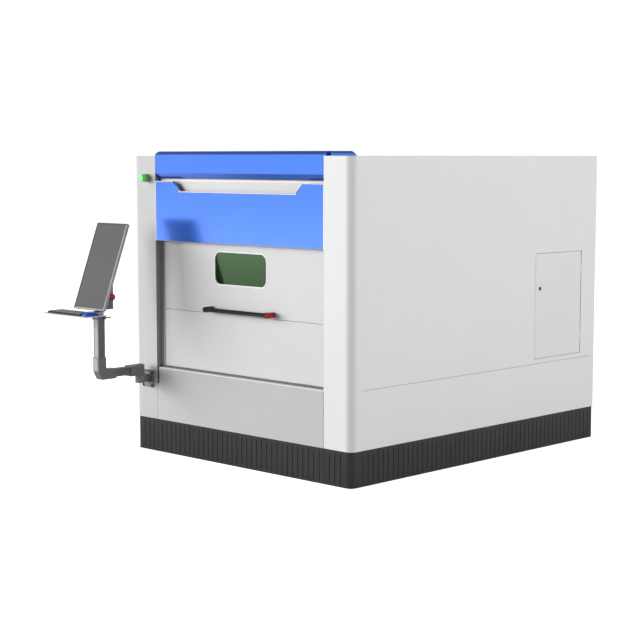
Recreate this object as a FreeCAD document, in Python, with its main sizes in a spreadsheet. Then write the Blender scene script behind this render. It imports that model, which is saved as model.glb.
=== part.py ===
import FreeCAD
import Part
import Sketcher
import os
import re

# Fully enclosed flat-bed fibre laser cutting machine.
# Millimetres, +Z up, front towards -Y, right-hand side towards +X.
# The origin is on the floor under the middle levelling foot, at the centre of the casing's footprint.

SIZES = [
    # casing
    ("casing_width", 1930, "outside width of the casing"),
    ("casing_depth", 2400, "outside depth of the casing"),
    ("casing_height", 1900, "top of the white casing above the floor"),
    ("pillar_width", 220, "front pillar, from the casing's side to the doorway"),
    ("corner_radius", 50, "bend between front pillar and side wall"),
    ("sheet", 3, "casing sheet thickness"),
    ("rear_return", 40, "flange of the side wall along the rear"),
    ("seam_height", 560, "pressed line along the side wall"),
    ("seam_width", 3, "width of the pressed line"),
    ("seam_depth", 1.2, "depth of the pressed line"),
    ("seam_end", 100, "distance of the pressed line from the front"),
    ("seam_tail", 36, "distance of the pressed line from the rear"),
    # plinth
    ("plinth_height", 212, "height of the dark skirt"),
    ("plinth_inset", 5, "set-back of the skirt behind the casing"),
    ("plinth_sheet", 3, "skirt sheet thickness"),
    ("slot_pitch", 44, "spacing of the upright slots in the skirt"),
    ("slot_width", 5, "width of one slot"),
    ("slot_top", 20, "skirt left solid above the slots"),
    ("slot_foot", 12, "skirt left solid below the slots"),
    ("skirt_fold", 22, "folded edge of the front and rear skirt"),
    # doorway
    ("door_recess", 40, "door face behind the pillar face"),
    ("leaf_thickness", 18, "thickness of a door leaf"),
    ("leaf_skin", 2, "front skin of a door leaf"),
    ("leaf_gap", 2, "gap between leaf and pillar return"),
    ("leaf_edge", 4, "edge fold and rib thickness of a leaf"),
    ("ledge_height", 550, "top of the lower front panel"),
    ("leaf_seam", 928, "joint between lower and upper leaf"),
    ("leaf_joint", 2, "gap at the joint of the leaves"),
    ("leaf_tuck", 40, "upper leaf above the fascia's upper edge, behind the header"),
    ("door_travel", 380, "rise of the upper leaf, fall of the lower one"),
    # window
    ("window_width", 456, "visible glass width"),
    ("window_height", 196, "visible glass height"),
    ("window_centre", 1212, "height of the window's centre"),
    ("window_radius", 46, "corner radius of the visible glass"),
    ("gasket_width", 8, "width of the window gasket"),
    ("glass_thickness", 4, "laser-safe window glass"),
    ("glass_bite", 4, "glass held inside the gasket"),
    # handle
    ("handle_height", 955, "height of the pull handle"),
    ("handle_centre", 20, "sideways offset of the handle's middle"),
    ("handle_length", 566, "handle length over its end caps"),
    ("handle_standoff", 60, "handle tube axis in front of the door"),
    ("handle_radius", 13, "radius of the handle tube"),
    ("shank_width", 16, "width of a handle shank"),
    ("shank_radius", 16, "half height of a handle shank"),
    ("cap_width", 6, "width of the end cap on a shank"),
    # blue front
    ("fascia_drop", 158, "upper edge of the fascia below the casing top"),
    ("fascia_height", 377, "height of the blue fascia"),
    ("fascia_depth", 14, "depth of the fascia tray"),
    ("notch_depth", 62, "depth of the notch in the fascia's top edge"),
    ("notch_margin", 168, "mouth of the notch from the doorway's side"),
    ("notch_slope", 64, "sideways run of the notch's sloping ends"),
    ("notch_radius", 14, "rounding at the notch's corners"),
    ("header_gap", 16, "gap between fascia and header"),
    ("header_chamfer", 35, "lower chamfer of the header"),
    ("hood_rise", 28, "header and hood above the casing top"),
    ("lip_thickness", 23, "header thickness"),
    ("lip_chamfer", 20, "upper front chamfer of the header"),
    ("hood_slot", 37, "slot that the rising door leaf passes through"),
    ("hood_depth", 218, "hood behind the slot"),
    ("hood_chamfer", 24, "rear chamfer of the hood"),
    ("end_chamfer", 14, "chamfer at the ends of header and hood"),
    # ledge
    ("notch_width", 18, "cable notch beside the left pillar"),
    ("notch_fall", 105, "height of the cable notch"),
    ("seal_height", 12, "wiper strip on the ledge"),
    ("seal_depth", 8, "thickness of the wiper strip"),
    # frames
    ("sill_foot", 70, "underside of the bed sills"),
    ("sill_top", 190, "top of the bed sills"),
    ("sill_inset", 165, "middle of the outer sills and rails from the casing's side"),
    ("sill_width", 100, "width of sills, bed posts and bed beams"),
    ("tie_height", 60, "height of the cross ties between sills"),
    ("foot_inset", 250, "front and rear levelling feet from the casing's ends"),
    ("foot_radius", 50, "radius of a levelling foot's pad"),
    ("foot_pad", 15, "thickness of a levelling foot's pad"),
    ("stud_radius", 12, "radius of a levelling foot's stud"),
    ("post", 60, "section of the enclosure frame tube"),
    ("guide_inset", 187, "inner face of the front posts from the casing's side"),
    ("cabinet_depth", 750, "rear compartment, from the middle posts to the casing's rear"),
    ("bed_inset", 180, "front end of the bed beams behind the casing's front"),
    ("bed_gap", 20, "rear end of the bed beams before the middle posts"),
    ("beam_top", 870, "top of the bed beams"),
    ("beam_height", 150, "height of the bed beams"),
    ("bed_wall", 8, "wall of the bed's tubes"),
    ("post_wall", 4, "wall of the enclosure's tubes"),
    # door drive
    ("guide_wall", 4, "wall of a door guide channel"),
    ("guide_play", 2, "clearance of a shoe inside its guide"),
    ("guide_depth", 25, "inside depth of a guide channel"),
    ("side_lip", 38, "lip of the guide seen beside a door leaf"),
    ("lip_play", 1.5, "gap between a guide's lip and the leaf"),
    ("shoe_length", 120, "length of a guide shoe"),
    ("pulley_inset", 130, "pulley axis behind the casing's front"),
    ("pulley_drop", 180, "upper pulleys below the casing top"),
    ("clamp_drop", 93, "foot of the lower clamp below the joint of the leaves"),
    ("clamp_height", 50, "height of a belt clamp"),
    ("clamp_rise", 33, "foot of the upper clamp above the window's centre"),
    ("clamp_room", 55, "lower pulleys below the lowered clamp"),
    ("clamp_inset", 43, "arm of a belt clamp from the front post's inner face"),
    ("clamp_arm", 20, "width of a belt clamp's arm"),
    ("pulley_radius", 28, "radius of the belt seat"),
    ("flange_radius", 34, "radius of the pulley flanges"),
    ("belt_width", 20, "belt width"),
    ("belt_thickness", 4, "belt thickness"),
    ("belt_play", 0.3, "gap between belt and moving pieces"),
    ("shaft_radius", 12, "radius of the cross shaft and idler pins"),
    ("running_fit", 0.05, "radial clearance of a turning fit"),
    ("clamp_plate", 8, "thickness of a belt clamp"),
    # table
    ("table_foot", 600, "underside of the slat table frame"),
    ("table_bar", 80, "height of the table bars"),
    ("table_gap", 8, "gap between slat table and bed beam"),
    ("table_end", 30, "ends of the slat table from the ends of the bed beams"),
    ("table_side", 30, "thickness of the table bars"),
    ("angle_width", 25, "part of the bed's table angle under the table"),
    ("angle_thickness", 10, "thickness of the bed's table angle"),
    ("slat_margin", 60, "first and last slat from the table's ends"),
    ("slat_sink", 40, "slats let down into the table bars"),
    ("slat_height", 80, "height of a slat over its tips"),
    ("slat_fit", 0.4, "slots of the table bars wider than the slats"),
    ("tray_inset", 40, "sides of the scrap tray inside the table"),
    ("tray_room", 45, "scrap tray's rim below the table"),
    ("tray_wall", 4.5, "wall of the scrap tray"),
    ("slat_pitch", 80, "spacing of the support slats"),
    ("slat_thickness", 4, "thickness of a slat"),
    ("tooth_pitch", 71, "spacing of the slat tips"),
    ("tooth_depth", 26, "depth of the slat's teeth"),
    # gantry
    ("park_gap", 130, "parked gantry before the rear ends of the rails"),
    ("rail_width", 20, "width of a linear rail"),
    ("rail_height", 22, "height of a linear rail"),
    ("gantry_depth", 140, "depth of the gantry beam"),
    ("truck_play", 6, "truck above the bed beam"),
    ("truck_height", 64, "height of a truck"),
    ("truck_width", 70, "width of a truck"),
    ("gantry_end", 50, "gantry beam beyond the rails' middles"),
    ("gantry_wall", 6, "wall of the gantry beam"),
    ("x_rail", 15, "section of the carriage's rails"),
    ("rail_low", 25, "lower carriage rail above the gantry's foot"),
    ("rail_high", 40, "upper carriage rail below the gantry's top"),
    ("gantry_height", 150, "height of the gantry beam"),
    ("truck_half", 120, "half length of a gantry truck"),
    ("carriage_inset", 200, "parked carriage from the middle of the left rail"),
    ("carriage_width", 180, "width of the carriage"),
    ("carriage_reach", 46, "front face of the carriage plate before the gantry"),
    ("carriage_plate", 12, "thickness of the carriage plate"),
    ("carriage_drop", 60, "carriage plate below the gantry beam"),
    ("carriage_rise", 150, "carriage plate above the gantry beam"),
    ("carriage_play", 4, "saddle before the gantry's face"),
    ("saddle_play", 5, "saddle lower than the gantry beam, above and below"),
    ("rib_offset", 50, "slide ribs from the carriage's middle"),
    ("rib_width", 14, "section of a slide rib"),
    ("slide_width", 150, "width of the head's slide plate"),
    ("slide_depth", 29, "thickness of the head's slide plate"),
    ("slide_foot", 40, "slide plate above the gantry's foot"),
    ("slide_height", 220, "height of the slide plate"),
    ("head_width", 84, "width of the cutting head's case"),
    ("head_depth", 80, "depth of the cutting head's case"),
    ("head_rise", 330, "top of the cutting head above the gantry's foot"),
    ("head_radius", 30, "radius of the cutting head's barrel"),
    ("head_barrel", 65, "length of the cutting head's barrel"),
    ("nozzle_length", 30, "length of the nozzle"),
    ("nozzle_radius", 14, "radius of the nozzle at the barrel"),
    ("nozzle_mouth", 3, "radius of the nozzle's tip"),
    ("nozzle_clearance", 110, "raised nozzle tip above the slats"),
    # rear compartment
    ("drive_width", 110, "width of a drive unit"),
    ("drive_depth", 100, "depth of a drive unit"),
    ("drive_height", 300, "height of a drive unit"),
    ("drive_pitch", 130, "spacing of the drive units"),
    ("drive_first", 180, "first drive unit right of the middle"),
    ("drive_rise", 109, "drive units above the service opening's foot"),
    ("source_width", 485, "width of the laser source"),
    ("source_depth", 710, "depth of the laser source"),
    ("source_height", 710, "height of the laser source"),
    ("source_gap", 10, "gap between partition and laser source"),
    ("air_slot", 8, "height of an air slot"),
    ("air_pitch", 30, "spacing of the air slots"),
    ("air_length", 320, "length of an air slot"),
    ("air_inset", 265, "air slots from the casing's side"),
    # service door
    ("service_inset", 83, "front edge of the service opening behind the partition"),
    ("service_margin", 160, "rear edge of the service opening from the casing's rear"),
    ("lock_inset", 49, "lock centre behind the opening's front edge"),
    ("service_foot", 591, "lower edge of the service opening"),
    ("service_top", 1275, "upper edge of the service opening"),
    ("service_gap", 2, "gap round the service door"),
    ("service_depth", 18, "depth of the service door tray"),
    ("knuckle_radius", 2.5, "radius of the service hinge knuckle"),
    ("lock_height", 1047, "height of the lock"),
    ("lock_radius", 12.5, "radius of the lock's face"),
    ("lock_body", 9, "radius of the lock's plug"),
    ("hinge_pin", 1.3, "radius of the service hinge pin"),
    # signal lamp
    ("lamp_inset", 142, "signal lamp from the casing's side"),
    ("lamp_drop", 140, "signal lamp below the casing top"),
    ("lamp_radius", 26, "radius of the signal lamp"),
    ("lamp_length", 53, "length of the signal lamp"),
    # control arm
    ("arm_inset", 135, "control arm from the casing's side"),
    ("swivel_reach", 77, "swivel axis in front of the casing"),
    ("swivel_radius", 28, "radius of the swivel hub"),
    ("rib_groove", 3, "width of the grooves in the cast hubs"),
    ("lip_reach", 28, "upper lip of the wall plate in front of the casing"),
    ("plate_corner", 12, "rounded corners of the arm's wall plate"),
    ("arm_height", 534, "height of the arm's axis"),
    ("hub_drop", 86, "underside of the swivel hub below the arm's axis"),
    ("arm_tube", 50, "section of the arm and post tube"),
    ("arm_wall", 4, "wall of the arm and post tube"),
    ("knuckle_width", 64, "width of the arm's knuckle"),
    ("knuckle_reach", 94, "length of the knuckle from the swivel axis"),
    ("elbow_reach", 210, "start of the elbow from the swivel axis"),
    ("post_reach", 320, "post axis in front of the swivel axis"),
    ("elbow_width", 58, "width of the elbow casting"),
    ("strip_width", 38, "cover strip along the front of post and elbow"),
    ("strip_rise", 1.5, "depth of the lines beside the cover strip"),
    ("elbow_rise", 106, "top of the elbow casting above the arm's axis"),
    ("post_top", 880, "top of the post"),
    ("collar_height", 24, "height of the post's collar"),
    ("collar_width", 66, "width of the post's collar"),
    ("lever_stud", 4, "radius of the clamp lever's stud"),
    # control head
    ("neck_radius", 29, "radius of the turning neck"),
    ("tray_rise", 24, "top of the keyboard tray above the collar"),
    ("screen_rise", 21, "lower edge of the screen above the tray"),
    ("wedge_rise", 22, "box behind the screen above the tray"),
    ("bezel", 9, "rim of the screen round its glass"),
    ("glass_sink", 1.5, "screen glass behind the rim"),
    ("screen_width", 300, "width of the screen"),
    ("screen_height", 566, "height of the screen"),
    ("screen_thickness", 18, "thickness of the screen"),
    ("screen_tilt", 20.5, "lean of the screen, in degrees"),
    ("screen_reach", 82, "lower edge of the screen in front of the post"),
    ("wedge_width", 200, "width of the box behind the screen"),
    ("estop_rise", 78, "stop button above the screen's lower edge"),
    ("estop_clear", 43.6, "stop button's axis behind the screen's back"),
    ("estop_margin", 25, "stop button's axis before the back of the box"),
    ("estop_radius", 21, "radius of the stop button's head"),
    ("stem_radius", 7, "radius of the stop button's stem"),
    ("tray_thickness", 5, "thickness of the keyboard tray"),
    ("tray_width", 427, "width of the keyboard tray"),
    ("tray_front", 278, "front edge of the tray from the post axis"),
    ("tray_rear", 105, "rear edge of the tray in front of the post axis"),
    ("keyboard_width", 330, "width of the keyboard"),
    ("keyboard_depth", 118, "depth of the keyboard"),
    ("keyboard_thickness", 14, "thickness of the keyboard"),
    ("key_rise", 4, "key rows above the keyboard's case"),
    ("key_margin", 7, "rim of the keyboard round its keys"),
    ("key_gap", 3, "gap between the key rows"),
    ("mouse_radius", 24, "rounding of the mouse in plan"),
    ("mouse_height", 20, "height of the mouse"),
]

# Places that follow from the sizes above, worked out in the same sheet.
PLACES = [
    ("leaf_foot", "ledge_height + seal_height", "lower edge of the lower leaf"),
    ("fascia_top", "casing_height - fascia_drop", "upper edge of the fascia"),
    ("fascia_foot", "fascia_top - fascia_height", "lower edge of the fascia"),
    ("leaf_top", "fascia_top + leaf_tuck", "upper edge of the upper leaf"),
    ("header_foot", "fascia_top + header_gap", "lower edge of the header"),
    ("notch_half_top", "casing_width / 2 - pillar_width - notch_margin",
     "half width of the notch at its mouth"),
    ("notch_half_floor", "notch_half_top - notch_slope", "half width of the notch at its floor"),
    ("sill_offset", "casing_width / 2 - sill_inset", "sideways place of the outer sills and rails"),
    ("foot_spread", "casing_depth / 2 - foot_inset", "front and rear levelling feet from the middle"),
    ("guide_post", "casing_width / 2 - guide_inset", "inner face of the front posts"),
    ("mid_post", "casing_depth / 2 - cabinet_depth", "front face of the middle posts"),
    ("bed_front", "casing_depth / 2 - bed_inset", "front end of the bed beams"),
    ("bed_rear", "mid_post - bed_gap", "rear end of the bed beams"),
    ("pulley_y", "casing_depth / 2 - pulley_inset", "pulley axis in front of the middle"),
    ("pulley_top", "casing_height - pulley_drop", "height of the upper pulleys"),
    ("pulley_foot", "leaf_seam - clamp_drop - door_travel - clamp_room", "height of the lower pulleys"),
    ("table_half_width", "sill_offset - sill_width / 2 - table_gap", "half width of the slat table"),
    ("table_front", "bed_front - table_end", "front end of the slat table"),
    ("table_rear", "bed_rear - table_end", "rear end of the slat table"),
    ("slat_foot", "table_foot + table_bar - slat_sink", "lower edge of the slats"),
    ("slat_top", "slat_foot + slat_height", "tips of the slats"),
    ("gantry_park", "bed_rear - park_gap", "parked place of the gantry, behind the middle"),
    ("gantry_foot", "beam_top + truck_play + truck_height", "underside of the gantry beam"),
    ("carriage_park", "sill_offset - carriage_inset", "parked place of the carriage, left of the middle"),
    ("nozzle_tip", "slat_top + nozzle_clearance", "height of the raised nozzle tip"),
    ("service_front", "mid_post + service_inset", "front edge of the service opening"),
    ("service_rear", "casing_depth / 2 - service_margin", "rear edge of the service opening"),
    ("lock_y", "service_front + lock_inset", "lock centre behind the middle"),
    ("lamp_x", "casing_width / 2 - lamp_inset", "signal lamp left of the middle"),
    ("lamp_height", "casing_height - lamp_drop", "height of the signal lamp"),
    ("arm_x", "casing_width / 2 - arm_inset", "control arm left of the middle"),
    ("swivel_foot", "arm_height - hub_drop", "underside of the swivel hub"),
    ("elbow_top", "arm_height + elbow_rise", "top of the elbow casting"),
    ("collar_top", "post_top + collar_height", "top of the post's collar"),
    ("tray_top", "collar_top + tray_rise", "top of the keyboard tray"),
    ("screen_foot", "tray_top + screen_rise", "lower edge of the screen's face"),
    ("wedge_foot", "tray_top + wedge_rise", "underside of the box behind the screen"),
    ("estop_height", "screen_foot + estop_rise", "height of the stop button"),
    ("estop_back",
     "screen_thickness / cos(screen_tilt) - screen_reach + estop_rise * tan(screen_tilt) + estop_clear",
     "stop button behind the post axis"),
    ("wedge_back", "estop_back + estop_margin", "back of the box behind the post axis"),
]

doc = FreeCAD.newDocument("laser_cutting_machine")
sheet = doc.addObject("Spreadsheet::Sheet", "sizes")
rows = [(alias, str(amount), meaning) for alias, amount, meaning in SIZES]
rows += [(alias, "=" + text, meaning) for alias, text, meaning in PLACES]
for row, (alias, content, meaning) in enumerate(rows, start=1):
    sheet.set("A%d" % row, alias)
    sheet.set("B%d" % row, content)
    sheet.set("C%d" % row, meaning)
    sheet.setAlias("B%d" % row, alias)
doc.recompute()
ALIASES = {alias for alias, content, meaning in rows}

subparts = []


def size(alias):
    """Read one driving dimension from the sheet."""
    return float(sheet.get(alias))


def value(text):
    """The present value of a formula of sizes."""
    return float(sheet.evalExpression(str(text)))


def formula(text):
    """Turn the aliases of a formula into references to the sheet."""
    def named(word):
        return ("sizes." if word.group() in ALIASES else "") + word.group()
    return re.sub(r"[a-z_]+", named, str(text))


def bind(item, prop, text):
    item.setExpression(prop, formula(text))


def place(item, x, y, z):
    for axis, text in zip("xyz", (x, y, z)):
        bind(item, "Placement.Base." + axis, text)


def minus(text):
    return "-(%s)" % text


def span(side, low, high):
    """A sideways interval on the right (side 1) or mirrored to the left (side -1)."""
    return (low, high) if side > 0 else (minus(high), minus(low))


def both(half):
    """An interval that lies evenly about zero."""
    return (minus(half), half)


def block(name, x, y, z):
    """A box between the lower and upper limits given for each axis."""
    item = doc.addObject("Part::Box", name)
    for prop, (low, high) in zip(("Length", "Width", "Height"), (x, y, z)):
        bind(item, prop, "(%s) - (%s)" % (high, low))
    place(item, x[0], y[0], z[0])
    return item


def rod(name, along, at, radius, low, high):
    """A cylinder along one axis; at gives the two other coordinates in x, y, z order."""
    item = doc.addObject("Part::Cylinder", name)
    bind(item, "Radius", radius)
    bind(item, "Height", "(%s) - (%s)" % (high, low))
    if along == "x":
        item.Placement.Rotation = FreeCAD.Rotation(FreeCAD.Vector(0, 1, 0), 90)
        place(item, low, at[0], at[1])
    elif along == "y":
        item.Placement.Rotation = FreeCAD.Rotation(FreeCAD.Vector(1, 0, 0), -90)
        place(item, at[0], low, at[1])
    else:
        place(item, at[0], at[1], low)
    return item


def fuse(name, parts):
    item = doc.addObject("Part::MultiFuse", name)
    item.Shapes = parts
    return item


def cut(name, base, tool):
    item = doc.addObject("Part::Cut", name)
    item.Base = base
    tools = tool if isinstance(tool, list) else [tool]
    item.Tool = tools[0] if len(tools) == 1 else fuse(name + "_tools", tools)
    return item


def common(name, base, tool):
    item = doc.addObject("Part::Common", name)
    item.Base = base
    item.Tool = tool
    return item


def group(name, parts):
    """Separate solids of one kind that share a node."""
    item = doc.addObject("Part::Compound", name)
    item.Links = parts
    return item


def feature(name, shape):
    """A shape worked out by formula from sizes read in the sheet."""
    item = doc.addObject("Part::Feature", name)
    item.Shape = shape
    return item


def edges_along(shape, axis, spots):
    """Numbers of the straight edges along an axis that pass through one of the spots."""
    numbers = []
    others = [index for index in range(3) if index != "xyz".index(axis)]
    for number, edge in enumerate(shape.Edges, start=1):
        start, end = edge.Vertexes[0].Point, edge.Vertexes[-1].Point
        if any(abs(start[index] - end[index]) > 0.001 for index in others):
            continue
        for spot in spots:
            if all(abs(start[index] - place) < 0.01 for index, place in zip(others, spot)):
                numbers.append(number)
    return numbers


def rounded(name, base, axis, spots, radius):
    """Round the edges of a solid that run along an axis through the given spots."""
    doc.recompute()
    item = doc.addObject("Part::Fillet", name)
    item.Base = base
    item.Edges = [(number, size(radius), size(radius)) for number in edges_along(base.Shape, axis, spots)]
    return item


def rounded_block(name, x, y, z, axis, radius):
    """A block whose four edges along one axis are rounded."""
    base = block(name + "_block", x, y, z)
    doc.recompute()
    box = base.Shape.BoundBox
    corners = {"x": [(a, b) for a in (box.YMin, box.YMax) for b in (box.ZMin, box.ZMax)],
               "y": [(a, b) for a in (box.XMin, box.XMax) for b in (box.ZMin, box.ZMax)],
               "z": [(a, b) for a in (box.XMin, box.XMax) for b in (box.YMin, box.YMax)]}
    return rounded(name, base, axis, corners[axis], radius)


def outline(body, role, name, points, offset="0"):
    """A closed sketch through points on one of the body's own planes, each point bound to the sheet."""
    plane = next(item for item in body.Origin.OriginFeatures if item.Role == role)
    sketch = body.newObject("Sketcher::SketchObject", name)
    sketch.AttachmentSupport = [(plane, "")]
    sketch.MapMode = "FlatFace"
    bind(sketch, "AttachmentOffset.Base.z", offset)
    spots = [[value(text) for text in point] for point in points]
    corners = [FreeCAD.Vector(u, v, 0) for u, v in spots]
    count = len(corners)
    for index in range(count):
        sketch.addGeometry(Part.LineSegment(corners[index], corners[(index + 1) % count]), False)
    for index in range(count):
        sketch.addConstraint(Sketcher.Constraint("Coincident", index, 2, (index + 1) % count, 1))
    for index, (u, v) in enumerate(points):
        across = sketch.addConstraint(Sketcher.Constraint("DistanceX", -1, 1, index, 1, spots[index][0]))
        bind(sketch, "Constraints[%d]" % across, u)
        upward = sketch.addConstraint(Sketcher.Constraint("DistanceY", -1, 1, index, 1, spots[index][1]))
        bind(sketch, "Constraints[%d]" % upward, v)
    return sketch


def pad(body, sketch, length, reverse=False):
    item = body.newObject("PartDesign::Pad", sketch.Name + "_pad")
    item.Profile = sketch
    bind(item, "Length", length)
    item.Reversed = reverse
    sketch.Visibility = False
    return item


def pocket(body, sketch, length, reverse=False):
    item = body.newObject("PartDesign::Pocket", sketch.Name + "_pocket")
    item.Profile = sketch
    bind(item, "Length", length)
    item.Reversed = reverse
    sketch.Visibility = False
    return item


def keep(node, item):
    """Name a finished sub-part; the label is also the name of its file."""
    item.Label = node
    subparts.append(item)
    return item


HALF_WIDTH = "casing_width / 2"
HALF_DEPTH = "casing_depth / 2"
DOORWAY = "casing_width / 2 - pillar_width"
FRONT = "-casing_depth / 2"
FACE = "-casing_depth / 2 + door_recess"
LEAF_BACK = "-casing_depth / 2 + door_recess + leaf_thickness"
FRAME_SIDE = "casing_width / 2 - plinth_inset - plinth_sheet"
FRAME_END = "casing_depth / 2 - plinth_inset - plinth_sheet"


# Levelling feet: nine equal screw feet, each a round pad, a stud and a lock nut, under the bed sills.
def levelling_feet():
    feet = []
    for column in (-1, 0, 1):
        for line in (-1, 0, 1):
            tag = "foot_%d_%d" % (column + 1, line + 1)
            at = ("%d * sill_offset" % column, "%d * foot_spread" % line)
            pad_disc = rod(tag + "_pad", "z", at, "foot_radius", "0", "foot_pad")
            stud = rod(tag + "_stud", "z", at, "stud_radius", "foot_pad", "sill_foot")
            nut = doc.addObject("Part::Prism", tag + "_nut")
            nut.Polygon = 6
            bind(nut, "Circumradius", "stud_radius * 1.7")
            bind(nut, "Height", "stud_radius")
            place(nut, at[0], at[1], "sill_foot - stud_radius")
            feet.append(fuse(tag, [pad_disc, stud, nut]))
    keep("levelling_feet", group("feet", feet))


def welded(name, tubes, wall, extras):
    """Tubes, each given by its three intervals and the axis it runs along, welded into one frame."""
    solids, voids = list(extras), []
    for number, (along, x, y, z) in enumerate(tubes):
        inner = [(low + " + " + wall, high + " - " + wall) for low, high in (x, y, z)]
        inner["xyz".index(along)] = (x, y, z)["xyz".index(along)]
        solids.append(block("%s_tube_%d" % (name, number), x, y, z))
        voids.append(block("%s_inside_%d" % (name, number), *inner))
    return cut(name, fuse(name + "_tubes", solids), voids)


# Bed frame: welded from heavy tube. Three sills on the feet, cross ties that also carry the enclosure,
# six posts, two beams for the rails and an angle along each side that the slat table rests on.
def bed_frame():
    half = "sill_width / 2"
    inner, outer = "sill_offset - " + half, "sill_offset + " + half
    middle = "(bed_rear - bed_front - sill_width) / 2"
    tie, sill = ("sill_top - tie_height", "sill_top"), ("sill_foot", "sill_top")
    tubes = [("y", both(half), ("-bed_front - 0.8 * sill_width", FRAME_END), sill)]
    for y in (("-bed_front - sill_width", "-bed_front - sill_width + post"), ("mid_post", "mid_post + post"),
              (FRAME_END + " - post", FRAME_END)):
        tubes.append(("x", both(FRAME_SIDE), y, tie))
    for low in ("-bed_front", middle):
        tubes.append(("x", both(outer), (low, low + " + post"), tie))
    angles = []
    for side in (1, -1):
        x = span(side, inner, outer)
        tubes.append(("y", x, both(FRAME_END), sill))
        tubes.append(("y", x, ("-bed_front", "bed_rear"), ("beam_top - beam_height", "beam_top")))
        for low in ("-bed_front", middle, "bed_rear - sill_width"):
            tubes.append(("z", x, (low, low + " + sill_width"), ("sill_top", "beam_top - beam_height")))
        angles.append(block("table_angle", span(side, "table_half_width - angle_width", inner),
                            ("-table_front", "table_rear"), ("table_foot - angle_thickness", "table_foot")))
    keep("bed_frame", welded("bed", tubes, "bed_wall", angles))


# Enclosure frame: square tube posts on the sills and ties, joined by a ring of tube under the roof.
def enclosure_frame():
    foot, top = "sill_top", "casing_height - sheet"
    ring = (top + " - post", top)
    front = minus(FRAME_END) + " + post - 4"
    middle, rear = ("mid_post", "mid_post + post"), (FRAME_END + " - post", FRAME_END)
    tubes = [("x", both(FRAME_SIDE), y, ring) for y in ((front, front + " + post"), middle, rear)]
    for side in (1, -1):
        outer = span(side, FRAME_SIDE + " - post", FRAME_SIDE)
        tubes.append(("z", span(side, "guide_post", "guide_post + post"),
                      (minus(FRAME_END), minus(FRAME_END) + " + post"), (foot, top)))
        tubes.append(("z", outer, middle, (foot, top)))
        tubes.append(("z", outer, rear, (foot, top)))
        tubes.append(("y", outer, (front, FRAME_END), ring))
    keep("enclosure_frame", welded("frame", tubes, "post_wall", []))


def bent_block(name, inset, z):
    """The machine's plan shape as a solid, set in from the casing, with its front corners bent."""
    base = block(name + "_block", both(HALF_WIDTH + " - " + inset), both(HALF_DEPTH + " - " + inset), z)
    doc.recompute()
    bounds = base.Shape.BoundBox
    spots = [(bounds.XMin, bounds.YMin), (bounds.XMax, bounds.YMin)]
    radius = value("corner_radius - " + inset)
    bend = doc.addObject("Part::Fillet", name)
    bend.Base = base
    bend.Edges = [(number, radius, radius) for number in edges_along(base.Shape, "z", spots)]
    return bend


def wrap(name, side, inset, wall, z):
    """A sheet bent round one side: pillar front from the doorway, corner, side wall and rear flange."""
    inner = "(%s + %s)" % (inset, wall)
    whole = cut(name + "_ring", bent_block(name + "_outer", inset, z), bent_block(name + "_inner", inner, z))
    region = [block(name + "_front", span(side, DOORWAY, HALF_WIDTH), (FRONT, FRONT + " + 200"), z),
              block(name + "_side", span(side, HALF_WIDTH + " - rear_return", HALF_WIDTH),
                    (FRONT + " + 200", HALF_DEPTH), z)]
    return common(name, whole, fuse(name + "_region", region))


def slots(name, along, fixed, low, high):
    """Upright slot tools in a row between two places along x or y, through the skirt at a fixed place."""
    pitch, width = size("slot_pitch"), size("slot_width")
    foot, top = size("slot_foot"), size("plinth_height") - size("slot_top")
    reach = 4 * size("plinth_sheet")
    first, last = value(low), value(high)
    count = int((last - first) // pitch)
    start = (first + last - (count - 1) * pitch) / 2
    tools = []
    for index in range(count):
        centre = start + index * pitch
        if along == "x":
            corner = FreeCAD.Vector(centre - width / 2, value(fixed) - reach / 2, foot)
            tools.append(Part.makeBox(width, reach, top - foot, corner))
        else:
            corner = FreeCAD.Vector(value(fixed) - reach / 2, centre - width / 2, foot)
            tools.append(Part.makeBox(reach, width, top - foot, corner))
    return feature(name, Part.makeCompound(tools))


# Skirt: a dark sheet plinth in four pieces, slotted upright all round to let the bed breathe.
# Each side piece is bent round the front corner up to the doorway; front and rear pieces are folded trays.
def plinths():
    z = ("0", "plinth_height")
    side_place = HALF_WIDTH + " - plinth_inset"
    for side, node in ((1, "plinth_right"), (-1, "plinth_left")):
        skirt = wrap(node + "_skirt", side, "plinth_inset", "plinth_sheet", z)
        holes = [slots(node + "_front_slots", "x", FRONT + " + plinth_inset",
                       *span(side, DOORWAY + " + 6", side_place + " - corner_radius")),
                 slots(node + "_side_slots", "y", side_place if side > 0 else minus(side_place),
                       FRONT + " + corner_radius + 12", HALF_DEPTH + " - 12")]
        keep(node, cut(node + "_slotted", skirt, holes))
    outer = HALF_DEPTH + " - plinth_inset"
    for end, half, fold, node in ((-1, DOORWAY, DOORWAY, "plinth_front"),
                                  (1, HALF_WIDTH + " - rear_return", FRAME_SIDE + " - post - 2",
                                   "plinth_rear")):
        folds = span(end, outer + " - skirt_fold", outer)
        tray = fuse(node + "_tray", [
            block(node + "_face", both(half), span(end, outer + " - plinth_sheet", outer), z),
            block(node + "_foot", both(fold), folds, ("0", "plinth_sheet")),
            block(node + "_top", both(fold), folds, ("plinth_height - plinth_sheet", "plinth_height"))])
        holes = slots(node + "_slots", "x", outer if end > 0 else minus(outer), *both(half + " - 6"))
        keep(node, cut(node + "_slotted", tray, holes))


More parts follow.
